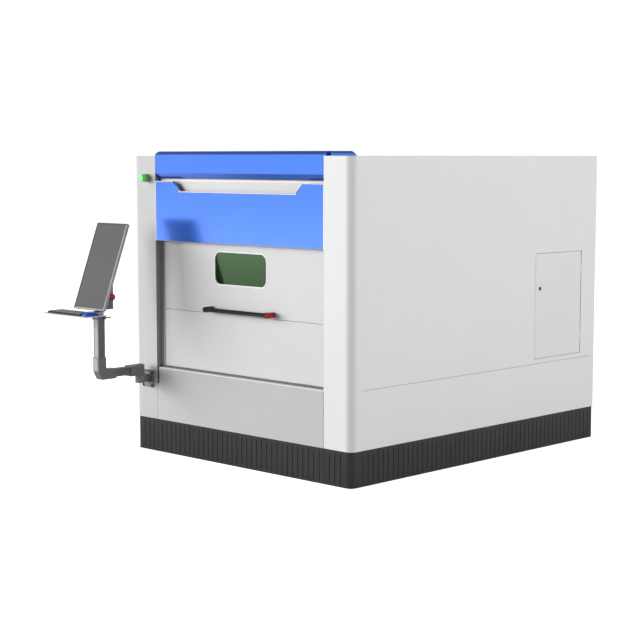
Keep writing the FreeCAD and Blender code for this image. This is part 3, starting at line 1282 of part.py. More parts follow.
def door_leaves():
    inner = DOORWAY + " - leaf_gap - leaf_edge"
    frame = "window_width / 2 + gasket_width + leaf_edge"
    low, high = "leaf_seam + leaf_joint / 2", "leaf_top"
    half_hole = "window_height / 2 + gasket_width + leaf_edge"
    pockets = [(span(side, frame, inner), (low + " + leaf_edge", high + " - leaf_edge")) for side in (1, -1)]
    pockets.append((both(frame + " - leaf_edge"), ("window_centre + " + half_hole, high + " - leaf_edge")))
    pockets.append((both(frame + " - leaf_edge"), (low + " + leaf_edge", "window_centre - (%s)" % half_hole)))
    hole = window_block("window_hole", "gasket_width", (FACE + " - 1", LEAF_BACK + " + 1"))
    leaf("door_upper", (low, high), pockets, [hole], [low + " + 60", "fascia_foot - 5"], UPPER_CLAMP)
    low, high = "leaf_foot", "leaf_seam - leaf_joint / 2"
    pockets = [(span(side, "leaf_edge / 2", inner),
                (low + " + leaf_edge", high + " - leaf_edge")) for side in (1, -1)]
    leaf("door_lower", (low, high), pockets, [], [low + " + 18", high + " - 17 - shoe_length"], LOWER_CLAMP)


# Window: laser-safe glass pane held in the groove of a rubber gasket that lines the leaf's opening.
def window():
    pane_y = (FACE + " + 6", FACE + " + 6 + glass_thickness")
    ring = cut("gasket_ring",
               window_block("gasket_outer", "gasket_width", (FACE + " - 1", LEAF_BACK + " - 4")),
               window_block("gasket_inner", "0", (FACE + " - 2", LEAF_BACK)))
    keep("window_gasket", cut("gasket", ring, window_block("gasket_groove", "glass_bite", pane_y)))
    keep("window_glass", window_block("pane", "glass_bite", pane_y))


# Pull handle: black tube between two black shanks screwed to the door, each with a red cap on its outer face.
def pull_handle():
    axis_y = FACE + " - handle_standoff"
    left, right = "handle_centre - handle_length / 2", "handle_centre + handle_length / 2"
    inner_left, inner_right = left + " + cap_width + shank_width", right + " - cap_width - shank_width"
    keep("handle_tube", rod("tube", "x", (axis_y, "handle_height"), "handle_radius", inner_left, inner_right))
    z = ("handle_height - shank_radius", "handle_height + shank_radius")

    def nose(name, x):
        return fuse(name, [block(name + "_stem", x, (axis_y, FACE), z),
                           rod(name + "_nose", "x", (axis_y, "handle_height"), "shank_radius", *x)])
    shanks = [nose("left_shank", (left + " + cap_width", inner_left)),
              nose("right_shank", (inner_right, right + " - cap_width"))]
    keep("handle_shanks", group("shanks", shanks))
    caps = [nose("left_cap", (left, left + " + cap_width")),
            nose("right_cap", (right + " - cap_width", right))]
    keep("handle_caps", group("caps", caps))


# Belt clamps: folded arms from the back of a leaf round the guide to a plate on its run of each belt;
# the upper leaf holds the front runs, the lower leaf the rear runs, so that one falls as the other rises.
def belt_clamps():
    front_run = "-pulley_y - pulley_radius - belt_thickness - 2 * belt_play"
    rear_run = "-pulley_y + pulley_radius"
    for node, run, z in (("upper_clamps", front_run, UPPER_CLAMP), ("lower_clamps", rear_run, LOWER_CLAMP)):
        arms = []
        for side in (1, -1):
            tag = "%s_%d" % (node, side + 1)
            arms.append(fuse(tag, [
                block(tag + "_arm",
                      span(side, "guide_post - clamp_inset - clamp_arm", "guide_post - clamp_inset"),
                      (LEAF_BACK, run), z),
                block(tag + "_plate",
                      span(side, "guide_post - clamp_inset", "sill_offset + belt_width / 2 + 2"),
                      (run + " - clamp_plate", run), z)]))
        keep(node, group(node + "_pair", arms))


# Service door: folded sheet tray in the right side wall, with the moving knuckles of its two hinges.
HINGE_X = "(casing_width / 2 - knuckle_radius)"
HINGE_Y = "(service_rear - 3)"


def hinge_levels():
    return ("service_foot + 90", "service_top - 150")


def service_door():
    y = ("service_front + service_gap", HINGE_Y + " - 3")
    z = ("service_foot + service_gap", "service_top - service_gap")
    x = (HALF_WIDTH + " - service_depth", HALF_WIDTH)
    tray = block("door_tray", x, y, z)
    hollow = block("door_tray_hollow", (x[0], HALF_WIDTH + " - leaf_skin"),
                   (y[0] + " + leaf_skin", y[1] + " - leaf_skin"),
                   (z[0] + " + leaf_skin", z[1] + " - leaf_skin"))
    lock_hole = rod("lock_hole", "x", ("lock_y", "lock_height"), "lock_body + running_fit", *x)
    parts = [cut("door_skin", tray, [hollow, lock_hole])]
    bores = []
    for number, low in enumerate(hinge_levels()):
        level = (low + " + 30.3", low + " + 60")
        parts.append(rod("door_knuckle_%d" % number, "z", (HINGE_X, HINGE_Y), "knuckle_radius", *level))
        parts.append(block("door_web_%d" % number, (HINGE_X + " - 1", HINGE_X + " + 1"),
                           (y[1] + " - 1", HINGE_Y), level))
        bores.append(rod("door_bore_%d" % number, "z", (HINGE_X, HINGE_Y), "hinge_pin + running_fit", *level))
    keep("service_door", cut("service_door_bored", fuse("service_door_parts", parts), bores))


# Service hinges: fixed leaf with its knuckle and upright pin, two alike behind the edge of the side wall.
def service_hinges():
    hinges = []
    inside = HALF_WIDTH + " - sheet"
    for number, low in enumerate(hinge_levels()):
        tag = "hinge_%d" % number
        level = (low, low + " + 30")
        fixed = block(tag + "_leaf", (inside + " - 3", inside), (HINGE_Y + " - 0.5", HINGE_Y + " + 30"),
                      level)
        knuckle = rod(tag + "_knuckle", "z", (HINGE_X, HINGE_Y), "knuckle_radius", *level)
        pin = rod(tag + "_pin", "z", (HINGE_X, HINGE_Y), "hinge_pin", low + " + 30", low + " + 60")
        hinges.append(fuse(tag, [fixed, knuckle, pin]))
    keep("service_hinges", group("hinges", hinges))


# Service lock: round key plug in the service door with a cam that swings behind the side wall.
def service_lock():
    at = ("lock_y", "lock_height")
    skin = HALF_WIDTH + " - service_depth"
    plug = rod("lock_plug", "x", at, "lock_body", skin + " - 3", HALF_WIDTH)
    face = rod("lock_face", "x", at, "lock_radius", HALF_WIDTH, HALF_WIDTH + " + 2")
    cam = block("lock_cam", (skin + " - 7", skin + " - 3"), ("lock_y - 8", "lock_y + 8"),
                ("lock_height - 8", "lock_height + lock_y - service_front + 8"))
    slit = block("lock_slit", (HALF_WIDTH + " + 1", HALF_WIDTH + " + 3"), ("lock_y - 1", "lock_y + 1"),
                 ("lock_height - 5", "lock_height + 5"))
    keep("service_lock", cut("lock", fuse("lock_parts", [plug, face, cam]), slit))


# Gantry: welded beam across the bed on two grooved trucks, with two rails for the carriage on its front.
GANTRY_FACE = "(gantry_park - gantry_depth / 2)"
RAIL_LEVELS = ("gantry_foot + rail_low", "gantry_foot + gantry_height - rail_high")


def gantry_beam():
    rear = "gantry_park + gantry_depth / 2"
    half = "sill_offset + gantry_end"
    beam = block("gantry_box", both(half), (GANTRY_FACE, rear),
                 ("gantry_foot", "gantry_foot + gantry_height"))
    hollow = block("gantry_hollow", both(half), (GANTRY_FACE + " + gantry_wall", rear + " - gantry_wall"),
                   ("gantry_foot + gantry_wall", "gantry_foot + gantry_height - gantry_wall"))
    parts = [cut("gantry_tube", beam, hollow)]
    grooves = []
    length = ("gantry_park - truck_half", "gantry_park + truck_half")
    for side in (1, -1):
        parts.append(block("truck",
                           span(side, "sill_offset - truck_width / 2", "sill_offset + truck_width / 2"),
                           length, ("beam_top + truck_play", "gantry_foot")))
        wide = "rail_width / 2 + running_fit"
        grooves.append(block("truck_groove", span(side, "sill_offset - (%s)" % wide, "sill_offset + " + wide),
                             length, ("beam_top", "beam_top + rail_height + running_fit")))
    for low in RAIL_LEVELS:
        parts.append(block("carriage_rail", both("sill_offset - 90"),
                           (GANTRY_FACE + " - x_rail", GANTRY_FACE),
                           (low, low + " + x_rail")))
    keep("gantry_beam", cut("gantry", fuse("gantry_parts", parts), grooves))


# Carriage: grooved plate that runs along the gantry rails, with two upright ribs for the head's slide.
CARRIAGE_FRONT = GANTRY_FACE + " - carriage_reach"


def slide_ribs(name, play, y, z):
    """The two upright slide ribs of the carriage, or with some play the grooves that fit over them."""
    half = "(rib_width / 2 + %s)" % play
    return [block(name, ("-carriage_park + %d * rib_offset - %s" % (side, half),
                         "-carriage_park + %d * rib_offset + %s" % (side, half)), y, z) for side in (1, -1)]


def x_carriage():
    x = ("-carriage_park - carriage_width / 2", "-carriage_park + carriage_width / 2")
    saddle = block("saddle_block", x, (CARRIAGE_FRONT, GANTRY_FACE + " - carriage_play"),
                   ("gantry_foot + saddle_play", "gantry_foot + gantry_height - saddle_play"))
    z = ("gantry_foot - carriage_drop", "gantry_foot + gantry_height + carriage_rise")
    plate = block("head_plate", x, (CARRIAGE_FRONT, CARRIAGE_FRONT + " + carriage_plate"), z)
    ribs = slide_ribs("head_rib", "0", (CARRIAGE_FRONT + " - rib_width", CARRIAGE_FRONT), z)
    grooves = [block("saddle_groove", x, (GANTRY_FACE + " - x_rail - running_fit", GANTRY_FACE),
                     (low + " - running_fit", low + " + x_rail + running_fit")) for low in RAIL_LEVELS]
    keep("x_carriage", cut("carriage", fuse("carriage_parts", [saddle, plate] + ribs), grooves))


# Cutting head: slide plate, upright head body and its collimator, carried on the carriage's ribs.
def cutting_head():
    centre = "-carriage_park"
    z = ("gantry_foot + slide_foot", "gantry_foot + slide_foot + slide_height")
    rear = CARRIAGE_FRONT + " - 3"
    front = rear + " - slide_depth"
    back = block("slide_plate", (centre + " - slide_width / 2", centre + " + slide_width / 2"),
                 (front, rear), z)
    grooves = slide_ribs("slide_groove", "running_fit",
                         (CARRIAGE_FRONT + " - rib_width - running_fit", CARRIAGE_FRONT), z)
    case_foot = "nozzle_tip + nozzle_length + head_barrel"
    body = rounded_block("head_case", (centre + " - head_width / 2", centre + " + head_width / 2"),
                         (front + " - head_depth", front), (case_foot,
                                                            "gantry_foot + head_rise"), "z", "cap_width")
    barrel = rod("head_barrel", "z", (centre, front + " - head_depth / 2"), "head_radius",
                 "nozzle_tip + nozzle_length", case_foot)
    keep("cutting_head", cut("head", fuse("head_parts", [back, body, barrel]), grooves))


# Nozzle: copper cone screwed into the foot of the cutting head.
def nozzle():
    cone = doc.addObject("Part::Cone", "nozzle_cone")
    bind(cone, "Radius1", "nozzle_mouth")
    bind(cone, "Radius2", "nozzle_radius")
    bind(cone, "Height", "nozzle_length")
    place(cone, "-carriage_park", CARRIAGE_FRONT + " - 3 - slide_depth - head_depth / 2", "nozzle_tip")
    keep("nozzle", cone)


levelling_feet()
bed_frame()
enclosure_frame()
plinths()
side_shells()
roof_panel()
rear_panel()
header()
hood_cover()
fascia()
lower_front_panel()
ledge_seal()
door_guides()
door_belts()
belt_brackets()
door_shaft()
idlers()
table_frame()
table_slats()
scrap_tray()
y_rails()
partition()
servo_drives()
laser_source()
signal_lamp()
arm_bracket()
arm_knuckle()
arm_tube()
arm_elbow()
arm_post()
clamp_lever()
screen_bracket()
screen_housing()
emergency_stop()
keyboard_tray()
keyboard_and_mouse()
door_leaves()
window()
pull_handle()
belt_clamps()
service_door()
service_hinges()
service_lock()
gantry_beam()
x_carriage()
cutting_head()
nozzle()

doc.recompute()
for item in doc.Objects:
    for state in ("Invalid", "Error"):
        if state in item.State:
            raise RuntimeError("%s is not sound: %s" % (item.Name, item.State))
for item in subparts:
    if item.Shape.isNull() or not item.Shape.isValid() or not item.Shape.Solids:
        raise RuntimeError("%s has no sound solid" % item.Label)

os.makedirs("parts", exist_ok=True)
for item in subparts:
    item.Shape.exportStep("parts/%s.step" % item.Label)
print("%d sub-parts written" % len(subparts))
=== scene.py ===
import bpy
import bmesh
import math
from mathutils import Matrix, Vector


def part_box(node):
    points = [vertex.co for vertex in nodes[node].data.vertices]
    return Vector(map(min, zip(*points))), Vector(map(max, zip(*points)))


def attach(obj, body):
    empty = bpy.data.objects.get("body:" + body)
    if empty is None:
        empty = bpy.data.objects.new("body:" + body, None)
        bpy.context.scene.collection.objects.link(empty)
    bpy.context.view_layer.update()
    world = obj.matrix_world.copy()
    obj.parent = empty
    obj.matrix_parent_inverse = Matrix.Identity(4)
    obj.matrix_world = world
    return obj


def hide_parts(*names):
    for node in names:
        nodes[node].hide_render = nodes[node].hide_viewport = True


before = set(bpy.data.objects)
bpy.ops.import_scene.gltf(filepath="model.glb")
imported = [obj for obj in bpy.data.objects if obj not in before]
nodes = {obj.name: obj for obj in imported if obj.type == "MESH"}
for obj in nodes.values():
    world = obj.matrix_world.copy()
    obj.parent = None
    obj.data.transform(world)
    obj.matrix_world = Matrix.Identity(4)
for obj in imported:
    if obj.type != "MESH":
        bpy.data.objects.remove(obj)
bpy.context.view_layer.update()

# Camera: at the front right and about as high as the machine, where a fit to the casing's edges in the
# photograph puts it; colours are shown as they are, without a film curve.
camera_data = bpy.data.cameras.new("camera")
camera_data.sensor_width = 36
camera_data.lens = 88.43
camera_data.clip_end = 100
camera = bpy.data.objects.new("camera", camera_data)
bpy.context.collection.objects.link(camera)
camera.location = (6.9957, -7.6651, 1.8938)
camera.rotation_euler = (math.radians(90 - 5.925), 0, math.radians(44.168))
bpy.context.scene.camera = camera
bpy.context.scene.view_settings.view_transform = "Standard"


# Sky: a pale room, brightest at the horizon and dark behind the camera, which lays the darker band on the
# bent front corner. The camera itself, and what it sees through glass, gets plain white.
def feed(tree, node, inputs):
    """Give sockets of a node, by name or number, their values or the outputs that feed them."""
    for key, value in inputs.items():
        if isinstance(value, bpy.types.NodeSocket):
            tree.links.new(value, node.inputs[key])
        else:
            node.inputs[key].default_value = value


def add(tree, kind, inputs=None, **settings):
    """A new shader node with its settings and what feeds it."""
    node = tree.nodes.new(kind)
    for name, setting in settings.items():
        setattr(node, name, setting)
    feed(tree, node, inputs or {})
    return node


def maths(tree, operation, *values, kind="ShaderNodeMath", **settings):
    """The result of a maths node on outputs or numbers."""
    node = add(tree, kind, dict(enumerate(values)), operation=operation, **settings)
    return node.outputs["Value" if operation in ("DOT_PRODUCT", "LENGTH") else 0]


def ramp(tree, value, start, end, low, high):
    """A number that goes from low to high while a value goes from start to end."""
    return add(tree, "ShaderNodeMapRange", {"Value": value, "From Min": start, "From Max": end,
                                            "To Min": low, "To Max": high}).outputs["Result"]


horizon, overhead = 0.85, 0.20
behind_camera = (0.70, -0.71, 0.0)
world = bpy.data.worlds.new("pale sky")
bpy.context.scene.world = world
world.use_nodes = True
sky = world.node_tree
sky.nodes.clear()
direction = add(sky, "ShaderNodeTexCoord").outputs["Generated"]
height = maths(sky, "ABSOLUTE", add(sky, "ShaderNodeSeparateXYZ", {0: direction}).outputs["Z"])
towards = maths(sky, "DOT_PRODUCT", direction, behind_camera, kind="ShaderNodeVectorMath")
sky_level = maths(sky, "MULTIPLY", ramp(sky, height, 0.0, 0.55, horizon, overhead),
                  ramp(sky, towards, 0.45, 0.80, 1.0, 0.0))
sky_light = add(sky, "ShaderNodeBackground", {"Color": (1, 1, 1, 1), "Strength": sky_level})
sky_white = add(sky, "ShaderNodeBackground", {"Color": (1, 1, 1, 1), "Strength": 1.02})
rays = add(sky, "ShaderNodeLightPath").outputs
looking = maths(sky, "MAXIMUM", rays["Is Camera Ray"], rays["Is Transmission Ray"])
sky_mix = add(sky, "ShaderNodeMixShader", {0: looking, 1: sky_light.outputs[0], 2: sky_white.outputs[0]})
add(sky, "ShaderNodeOutputWorld", {"Surface": sky_mix.outputs[0]})


# Lamps: one large soft box far out at the left front, a weaker one at the right and one high behind.
# Each lights the machine without showing its own shape in glossy paint.
def soft_light(name, place, aim, size, watts):
    """A soft box at a place, turned towards a point."""
    data = bpy.data.lights.new(name, "AREA")
    data.shape = "RECTANGLE"
    data.size, data.size_y = size
    data.energy = watts
    lamp = bpy.data.objects.new(name, data)
    bpy.context.collection.objects.link(lamp)
    lamp.location = place
    lamp.rotation_euler = (Vector(aim) - Vector(place)).to_track_quat("-Z", "Y").to_euler()
    lamp.visible_glossy = False


soft_light("left front soft box", (-18.0, -17.1, 6.2), (0.6, -1.2, 6.0), (26.0, 12.0), 9550)
soft_light("right soft box", (11.0, 0.6, 4.0), (0.96, -0.4, 3.9), (9.0, 8.0), 730)
soft_light("rear soft box", (1.0, 14.0, 11.0), (0.0, 0.6, 1.0), (10.0, 8.0), 1500)

# Floor: a wide white sheet. The camera sees it glow nearly white, but not under the machine, and in glossy
# paint it is dark near the machine and bright far out.
skirt_half_width, skirt_half_depth = 0.955, 1.190
floor_mesh = bmesh.new()
bmesh.ops.create_grid(floor_mesh, x_segments=1, y_segments=1, size=40)
floor_data = bpy.data.meshes.new("floor")
floor_mesh.to_mesh(floor_data)
floor_mesh.free()
floor = bpy.data.objects.new("floor", floor_data)
bpy.context.collection.objects.link(floor)
floor_paint = bpy.data.materials.new("white floor")
floor_paint.use_nodes = True
sheet = floor_paint.node_tree
sheet.nodes.clear()
place = add(sheet, "ShaderNodeTexCoord").outputs["Object"]
folded = maths(sheet, "ABSOLUTE", place, kind="ShaderNodeVectorMath")
sides = add(sheet, "ShaderNodeSeparateXYZ", {0: folded}).outputs
open_floor = maths(sheet, "MAXIMUM", maths(sheet, "GREATER_THAN", sides["X"], skirt_half_width),
                   maths(sheet, "GREATER_THAN", sides["Y"], skirt_half_depth))
distance = maths(sheet, "LENGTH", place, kind="ShaderNodeVectorMath")
rays = add(sheet, "ShaderNodeLightPath").outputs
floor_level = add(sheet, "ShaderNodeMix", {"Factor": rays["Is Camera Ray"],
                                           "A": ramp(sheet, distance, 2.5, 5.0, 0.05, 0.95),
                                           "B": maths(sheet, "MULTIPLY", open_floor, 0.94)})
glow = add(sheet, "ShaderNodeEmission", {"Color": (1, 1, 1, 1), "Strength": floor_level.outputs["Result"]})
no_glow = add(sheet, "ShaderNodeEmission", {"Strength": 0.0})
shown = maths(sheet, "MAXIMUM", rays["Is Camera Ray"], rays["Is Glossy Ray"])
floor_glow = add(sheet, "ShaderNodeMixShader", {0: shown, 1: no_glow.outputs[0], 2: glow.outputs[0]})
floor_diffuse = add(sheet, "ShaderNodeBsdfDiffuse", {"Color": (0.4, 0.4, 0.4, 1)})
floor_sum = add(sheet, "ShaderNodeAddShader", {0: floor_glow.outputs[0], 1: floor_diffuse.outputs[0]})
add(sheet, "ShaderNodeOutputMaterial", {"Surface": floor_sum.outputs[0]})
floor_data.materials.append(floor_paint)


# Frames under the casing: welded square tube in grey enamel, on zinc-plated levelling feet. The scrap tray,
# the bearing plates and the belt clamps are zinc-plated too. The grain group gives every finish of the
# machine its tooth, its cloudiness and its lighter edges, which are part wear and part painted highlight.
def grain_group():
    """Fine tooth, slow mottling and an edge mask, with a normal that softens folded edges."""
    group = bpy.data.node_groups.new("Surface grain", "ShaderNodeTree")
    for name, kind, value in (("Tooth size", "Float", 900.0), ("Tooth depth", "Float", 0.1),
                              ("Cloud size", "Float", 2.0), ("Edge radius", "Float", 0.002),
                              ("Stretch", "Vector", (1.0, 1.0, 1.0))):
        socket = group.interface.new_socket(name=name, in_out="INPUT", socket_type="NodeSocket" + kind)
        socket.default_value = value
    for name, kind in (("Normal", "Vector"), ("Tooth", "Float"), ("Cloud", "Float"), ("Edge", "Float")):
        group.interface.new_socket(name=name, in_out="OUTPUT", socket_type="NodeSocket" + kind)
    given = add(group, "NodeGroupInput").outputs
    place = add(group, "ShaderNodeTexCoord").outputs["Object"]
    stretched = maths(group, "MULTIPLY", place, given["Stretch"], kind="ShaderNodeVectorMath")
    tooth = add(group, "ShaderNodeTexNoise",
                {"Vector": stretched, "Scale": given["Tooth size"], "Detail": 3}).outputs["Fac"]
    cloud = add(group, "ShaderNodeTexNoise",
                {"Vector": place, "Scale": given["Cloud size"], "Detail": 4, "Roughness": 0.6}).outputs["Fac"]
    rolled = add(group, "ShaderNodeBevel", {"Radius": given["Edge radius"]}, samples=4).outputs["Normal"]
    bump = add(group, "ShaderNodeBump", {"Distance": 0.0005, "Strength": given["Tooth depth"],
                                         "Height": tooth, "Normal": rolled})
    flat = add(group, "ShaderNodeNewGeometry").outputs["True Normal"]
    bend = maths(group, "DOT_PRODUCT", flat, rolled, kind="ShaderNodeVectorMath")
    add(group, "NodeGroupOutput", {"Normal": bump.outputs["Normal"], "Tooth": tooth, "Cloud": cloud,
                                   "Edge": ramp(group, bend, 0.985, 0.8, 0.0, 1.0)})
    return group


def finish(name, colour, cloudy, edge_wear_and_highlight, roughness, tooth=(900.0, 0.1), cloud=2.0, edge=0.002,
           stretch=(1, 1, 1), metallic=0.0, coat=0.0):
    """A material: its colour, that of its clouds and of its edges, part wear and part painted highlight, and
    its range of roughness.
    """
    material = bpy.data.materials.new(name)
    material.use_nodes = True
    tree = material.node_tree
    grain = add(tree, "ShaderNodeGroup",
                {"Tooth size": tooth[0], "Tooth depth": tooth[1], "Cloud size": cloud, "Edge radius": edge,
                 "Stretch": stretch}, node_tree=surface_grain).outputs
    clouds = add(tree, "ShaderNodeValToRGB", {"Fac": grain["Cloud"]})
    for element, position, shade in zip(clouds.color_ramp.elements, (0.35, 0.65), (cloudy, colour)):
        element.position = position
        element.color = (*shade, 1)
    paint = add(tree, "ShaderNodeMix", {"Factor": grain["Edge"], "A": clouds.outputs["Color"],
                                        "B": (*edge_wear_and_highlight, 1)}, data_type="RGBA")
    dullness = ramp(tree, grain["Tooth"], 0.3, 0.7, *roughness)
    feed(tree, tree.nodes["Principled BSDF"],
         {"Base Color": paint.outputs["Result"], "Roughness": dullness, "Normal": grain["Normal"],
          "Metallic": metallic, "Coat Weight": coat})
    return material


def dress(material, *names):
    """Give carried-over solids their finish."""
    for name in names:
        slots = nodes[name].data.materials
        for index in range(len(slots)):
            slots[index] = material
        if not slots:
            slots.append(material)


surface_grain = grain_group()
frame_enamel = finish("grey enamel", (0.10, 0.11, 0.12), (0.085, 0.09, 0.10), (0.22, 0.22, 0.22), (0.35, 0.5))
zinc = finish("zinc plate", (0.55, 0.56, 0.57), (0.42, 0.43, 0.45), (0.75, 0.75, 0.75), (0.25, 0.45),
              cloud=14.0, metallic=1.0)
dress(frame_enamel, "bed_frame", "enclosure_frame", "table_frame")
dress(zinc, "levelling_feet", "belt_brackets", "upper_clamps", "lower_clamps", "scrap_tray")


# Skirt: slotted steel sheets in a dark grey powder coat round the foot of the frame, with a dark seam at each
# end of the front sheet.
def zone_group():
    """A mask that is one inside a box of the piece's own coordinates, with a soft border."""
    group = bpy.data.node_groups.new("Zone", "ShaderNodeTree")
    for name, kind in (("Low", "Vector"), ("High", "Vector"), ("Soft", "Float")):
        group.interface.new_socket(name=name, in_out="INPUT", socket_type="NodeSocket" + kind)
    group.interface.new_socket(name="Mask", in_out="OUTPUT", socket_type="NodeSocketFloat")
    given = add(group, "NodeGroupInput").outputs
    place = add(group, "ShaderNodeTexCoord").outputs["Object"]
    mask = None
    for first, second in ((place, given["Low"]), (given["High"], place)):
        gap = maths(group, "SUBTRACT", first, second, kind="ShaderNodeVectorMath")
        parts = add(group, "ShaderNodeSeparateXYZ", {0: gap}).outputs
        for axis in "XYZ":
            share = maths(group, "DIVIDE", parts[axis], given["Soft"], use_clamp=True)
            mask = share if mask is None else maths(group, "MINIMUM", mask, share)
    add(group, "NodeGroupOutput", {"Mask": mask})
    return group


def zone(material, low, high, colour, soft=0.0005):
    """Lay a second colour over a material inside a box of its own coordinates."""
    tree = material.node_tree
    base = tree.nodes["Principled BSDF"].inputs["Base Color"]
    box = add(tree, "ShaderNodeGroup", {"Low": low, "High": high, "Soft": soft}, node_tree=zone_mask)
    layer = add(tree, "ShaderNodeMix", {"Factor": box.outputs["Mask"], "A": base.links[0].from_socket,
                                        "B": (*colour, 1)}, data_type="RGBA")
    tree.links.new(layer.outputs["Result"], base)


zone_mask = zone_group()
skirt_coat = finish("dark powder coat", (0.038, 0.038, 0.039), (0.031, 0.031, 0.032), (0.07, 0.07, 0.07),
                    (0.45, 0.62))
for seam in (-0.745, 0.745):
    zone(skirt_coat, (seam - 0.0025, -1.25, -0.1), (seam + 0.0025, -1.1, 0.3), (0.010, 0.010, 0.010))
dress(skirt_coat, "plinth_front", "plinth_left", "plinth_right", "plinth_rear")

# Slat table: toothed flat steel set in the slots of the table bars, scaled and spattered brown-grey by the
# laser.
slat_steel = finish("scaled flat steel", (0.30, 0.28, 0.26), (0.17, 0.14, 0.12), (0.55, 0.52, 0.50),
                    (0.4, 0.7), tooth=(400.0, 0.3), cloud=9.0, metallic=1.0)
dress(slat_steel, "table_slats")

# Rails, door shaft and hinges: ground steel with fine lengthwise marks. Each rail is screwed down from above,
# and flat caps close the screws' holes, almost flush so that the gantry's saddles pass over them.
ground_steel = finish("ground steel", (0.62, 0.62, 0.63), (0.54, 0.54, 0.56), (0.80, 0.80, 0.80),
                      (0.18, 0.32), tooth=(700.0, 0.06), stretch=(0.05, 1, 1), metallic=1.0, edge=0.001)
dress(ground_steel, "y_rails", "door_shaft", "service_hinges")


def piece(name, form, body, material, *replaced, smooth=False):
    """A finished piece from a bmesh, in place, riding on its body."""
    bmesh.ops.recalc_face_normals(form, faces=form.faces)
    for face in form.faces:
        face.smooth = smooth
    mesh = bpy.data.meshes.new(name)
    form.to_mesh(mesh)
    form.free()
    mesh.materials.append(material)
    made = bpy.data.objects.new(name, mesh)
    bpy.context.collection.objects.link(made)
    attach(made, body)
    if replaced:
        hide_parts(*replaced)
    return made


cap_metal = finish("rail cap", (0.30, 0.30, 0.31), (0.24, 0.24, 0.25), (0.5, 0.5, 0.5), (0.3, 0.5),
                   metallic=1.0, edge=0.0005)
rail_low, rail_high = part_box("y_rails")
rail_offset, first_hole, hole_pitch, hole_count = 0.8, 0.05, 0.079, 18
cap_depth, cap_proud = 0.0003, 0.00003
caps = bmesh.new()
for side in (-1, 1):
    for number in range(hole_count):
        at = Matrix.Translation((side * rail_offset, rail_low.y + first_hole + hole_pitch * number,
                                 rail_high.z + cap_proud - cap_depth / 2))
        bmesh.ops.create_cone(caps, cap_ends=True, segments=16, radius1=0.0050, radius2=0.0046,
                              depth=cap_depth, matrix=at)
piece("rail_caps", caps, "machine", cap_metal)


# Gantry, carriage, cutting head and the belts' idlers: machined aluminium. The nozzle is turned copper, and
# blackened socket screws hold the carriage's plate and the head.
def socket_screws(name, body, material, radius, facing, places):
    """Socket-head screws of one size, all facing one way, as one piece; one bevel at the end rounds all."""
    heads = bmesh.new()
    depth = 0.6 * radius
    turn = Vector((0, 0, 1)).rotation_difference(Vector(facing)).to_matrix().to_4x4()
    crowns = []
    for place in places:
        stand = Matrix.Translation(place) @ turn @ Matrix.Translation((0, 0, depth / 2))
        head = bmesh.ops.create_cone(heads, cap_ends=True, segments=18, radius1=radius, radius2=radius,
                                     depth=depth, matrix=stand)
        crowns.append(max({face for vert in head["verts"] for face in vert.link_faces},
                          key=lambda face: face.calc_center_median().dot(Vector(facing))))
    rims = [edge for crown in crowns for edge in crown.edges]
    bmesh.ops.inset_individual(heads, faces=crowns, thickness=0.45 * radius)
    bmesh.ops.inset_individual(heads, faces=crowns, thickness=0.05 * radius, depth=-0.35 * radius)
    bmesh.ops.bevel(heads, geom=rims, offset=0.14 * radius, offset_type="OFFSET", segments=2, profile=0.5,
                    affect="EDGES", material=-1)
    return piece(name, heads, body, material)


aluminium = finish("machined aluminium", (0.66, 0.67, 0.68), (0.58, 0.59, 0.60), (0.85, 0.85, 0.85),
                   (0.22, 0.38), tooth=(500.0, 0.08), stretch=(1, 1, 0.1), metallic=1.0)
copper = finish("turned copper", (0.80, 0.42, 0.26), (0.66, 0.33, 0.20), (0.95, 0.60, 0.42), (0.2, 0.35),
                metallic=1.0)
black_screw = finish("blackened screw", (0.03, 0.03, 0.032), (0.02, 0.02, 0.022), (0.25, 0.25, 0.25),
                     (0.3, 0.45), metallic=1.0, edge=0.0006)
dress(aluminium, "gantry_beam", "x_carriage", "cutting_head", "idler_left", "idler_right")
dress(copper, "nozzle")
plate_front, head_front = 0.184, 0.152
socket_screws("carriage_screws", "carriage", black_screw, 0.007, (0, -1, 0),
              [(x, plate_front, z) for x in (-0.6735, -0.5265) for z in (0.90, 0.98, 1.14, 1.22)])
socket_screws("head_screws", "laser_head", black_screw, 0.006, (0, -1, 0),
              [(x, head_front, z) for x in (-0.6555, -0.5445) for z in (1.0, 1.06, 1.12, 1.18)])

# Servo drives and laser source: three black moulded drives in a row, and the source in its sheet case. Each
# drive's front and the source's lid are held by small socket screws.
black_moulding = finish("black moulding", (0.007, 0.007, 0.008), (0.005, 0.005, 0.006), (0.03, 0.03, 0.03),
                        (0.35, 0.5), edge=0.001)
dress(black_moulding, "servo_drives")
drive_low, drive_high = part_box("servo_drives")
drive_lefts, drive_sides = (0.186, 0.316, 0.446), (0.012, 0.086)
drive_screw_inset = 0.012
socket_screws("drive_screws", "machine", zinc, 0.0035, (0, -1, 0),
              [(left + side, drive_low.y, z) for left in drive_lefts for side in drive_sides
               for z in (drive_low.z + drive_screw_inset, drive_high.z - drive_screw_inset)])
source_low, source_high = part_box("laser_source")
lid_side, lid_end = 0.015, 0.02
lid_middle = (source_low.y + source_high.y) / 2
socket_screws("source_screws", "machine", black_screw, 0.0045, (0, 0, 1),
              [(x, y, source_high.z) for x in (source_low.x + lid_side, source_high.x - lid_side)
               for y in (source_low.y + lid_end, lid_middle, source_high.y - lid_end)])
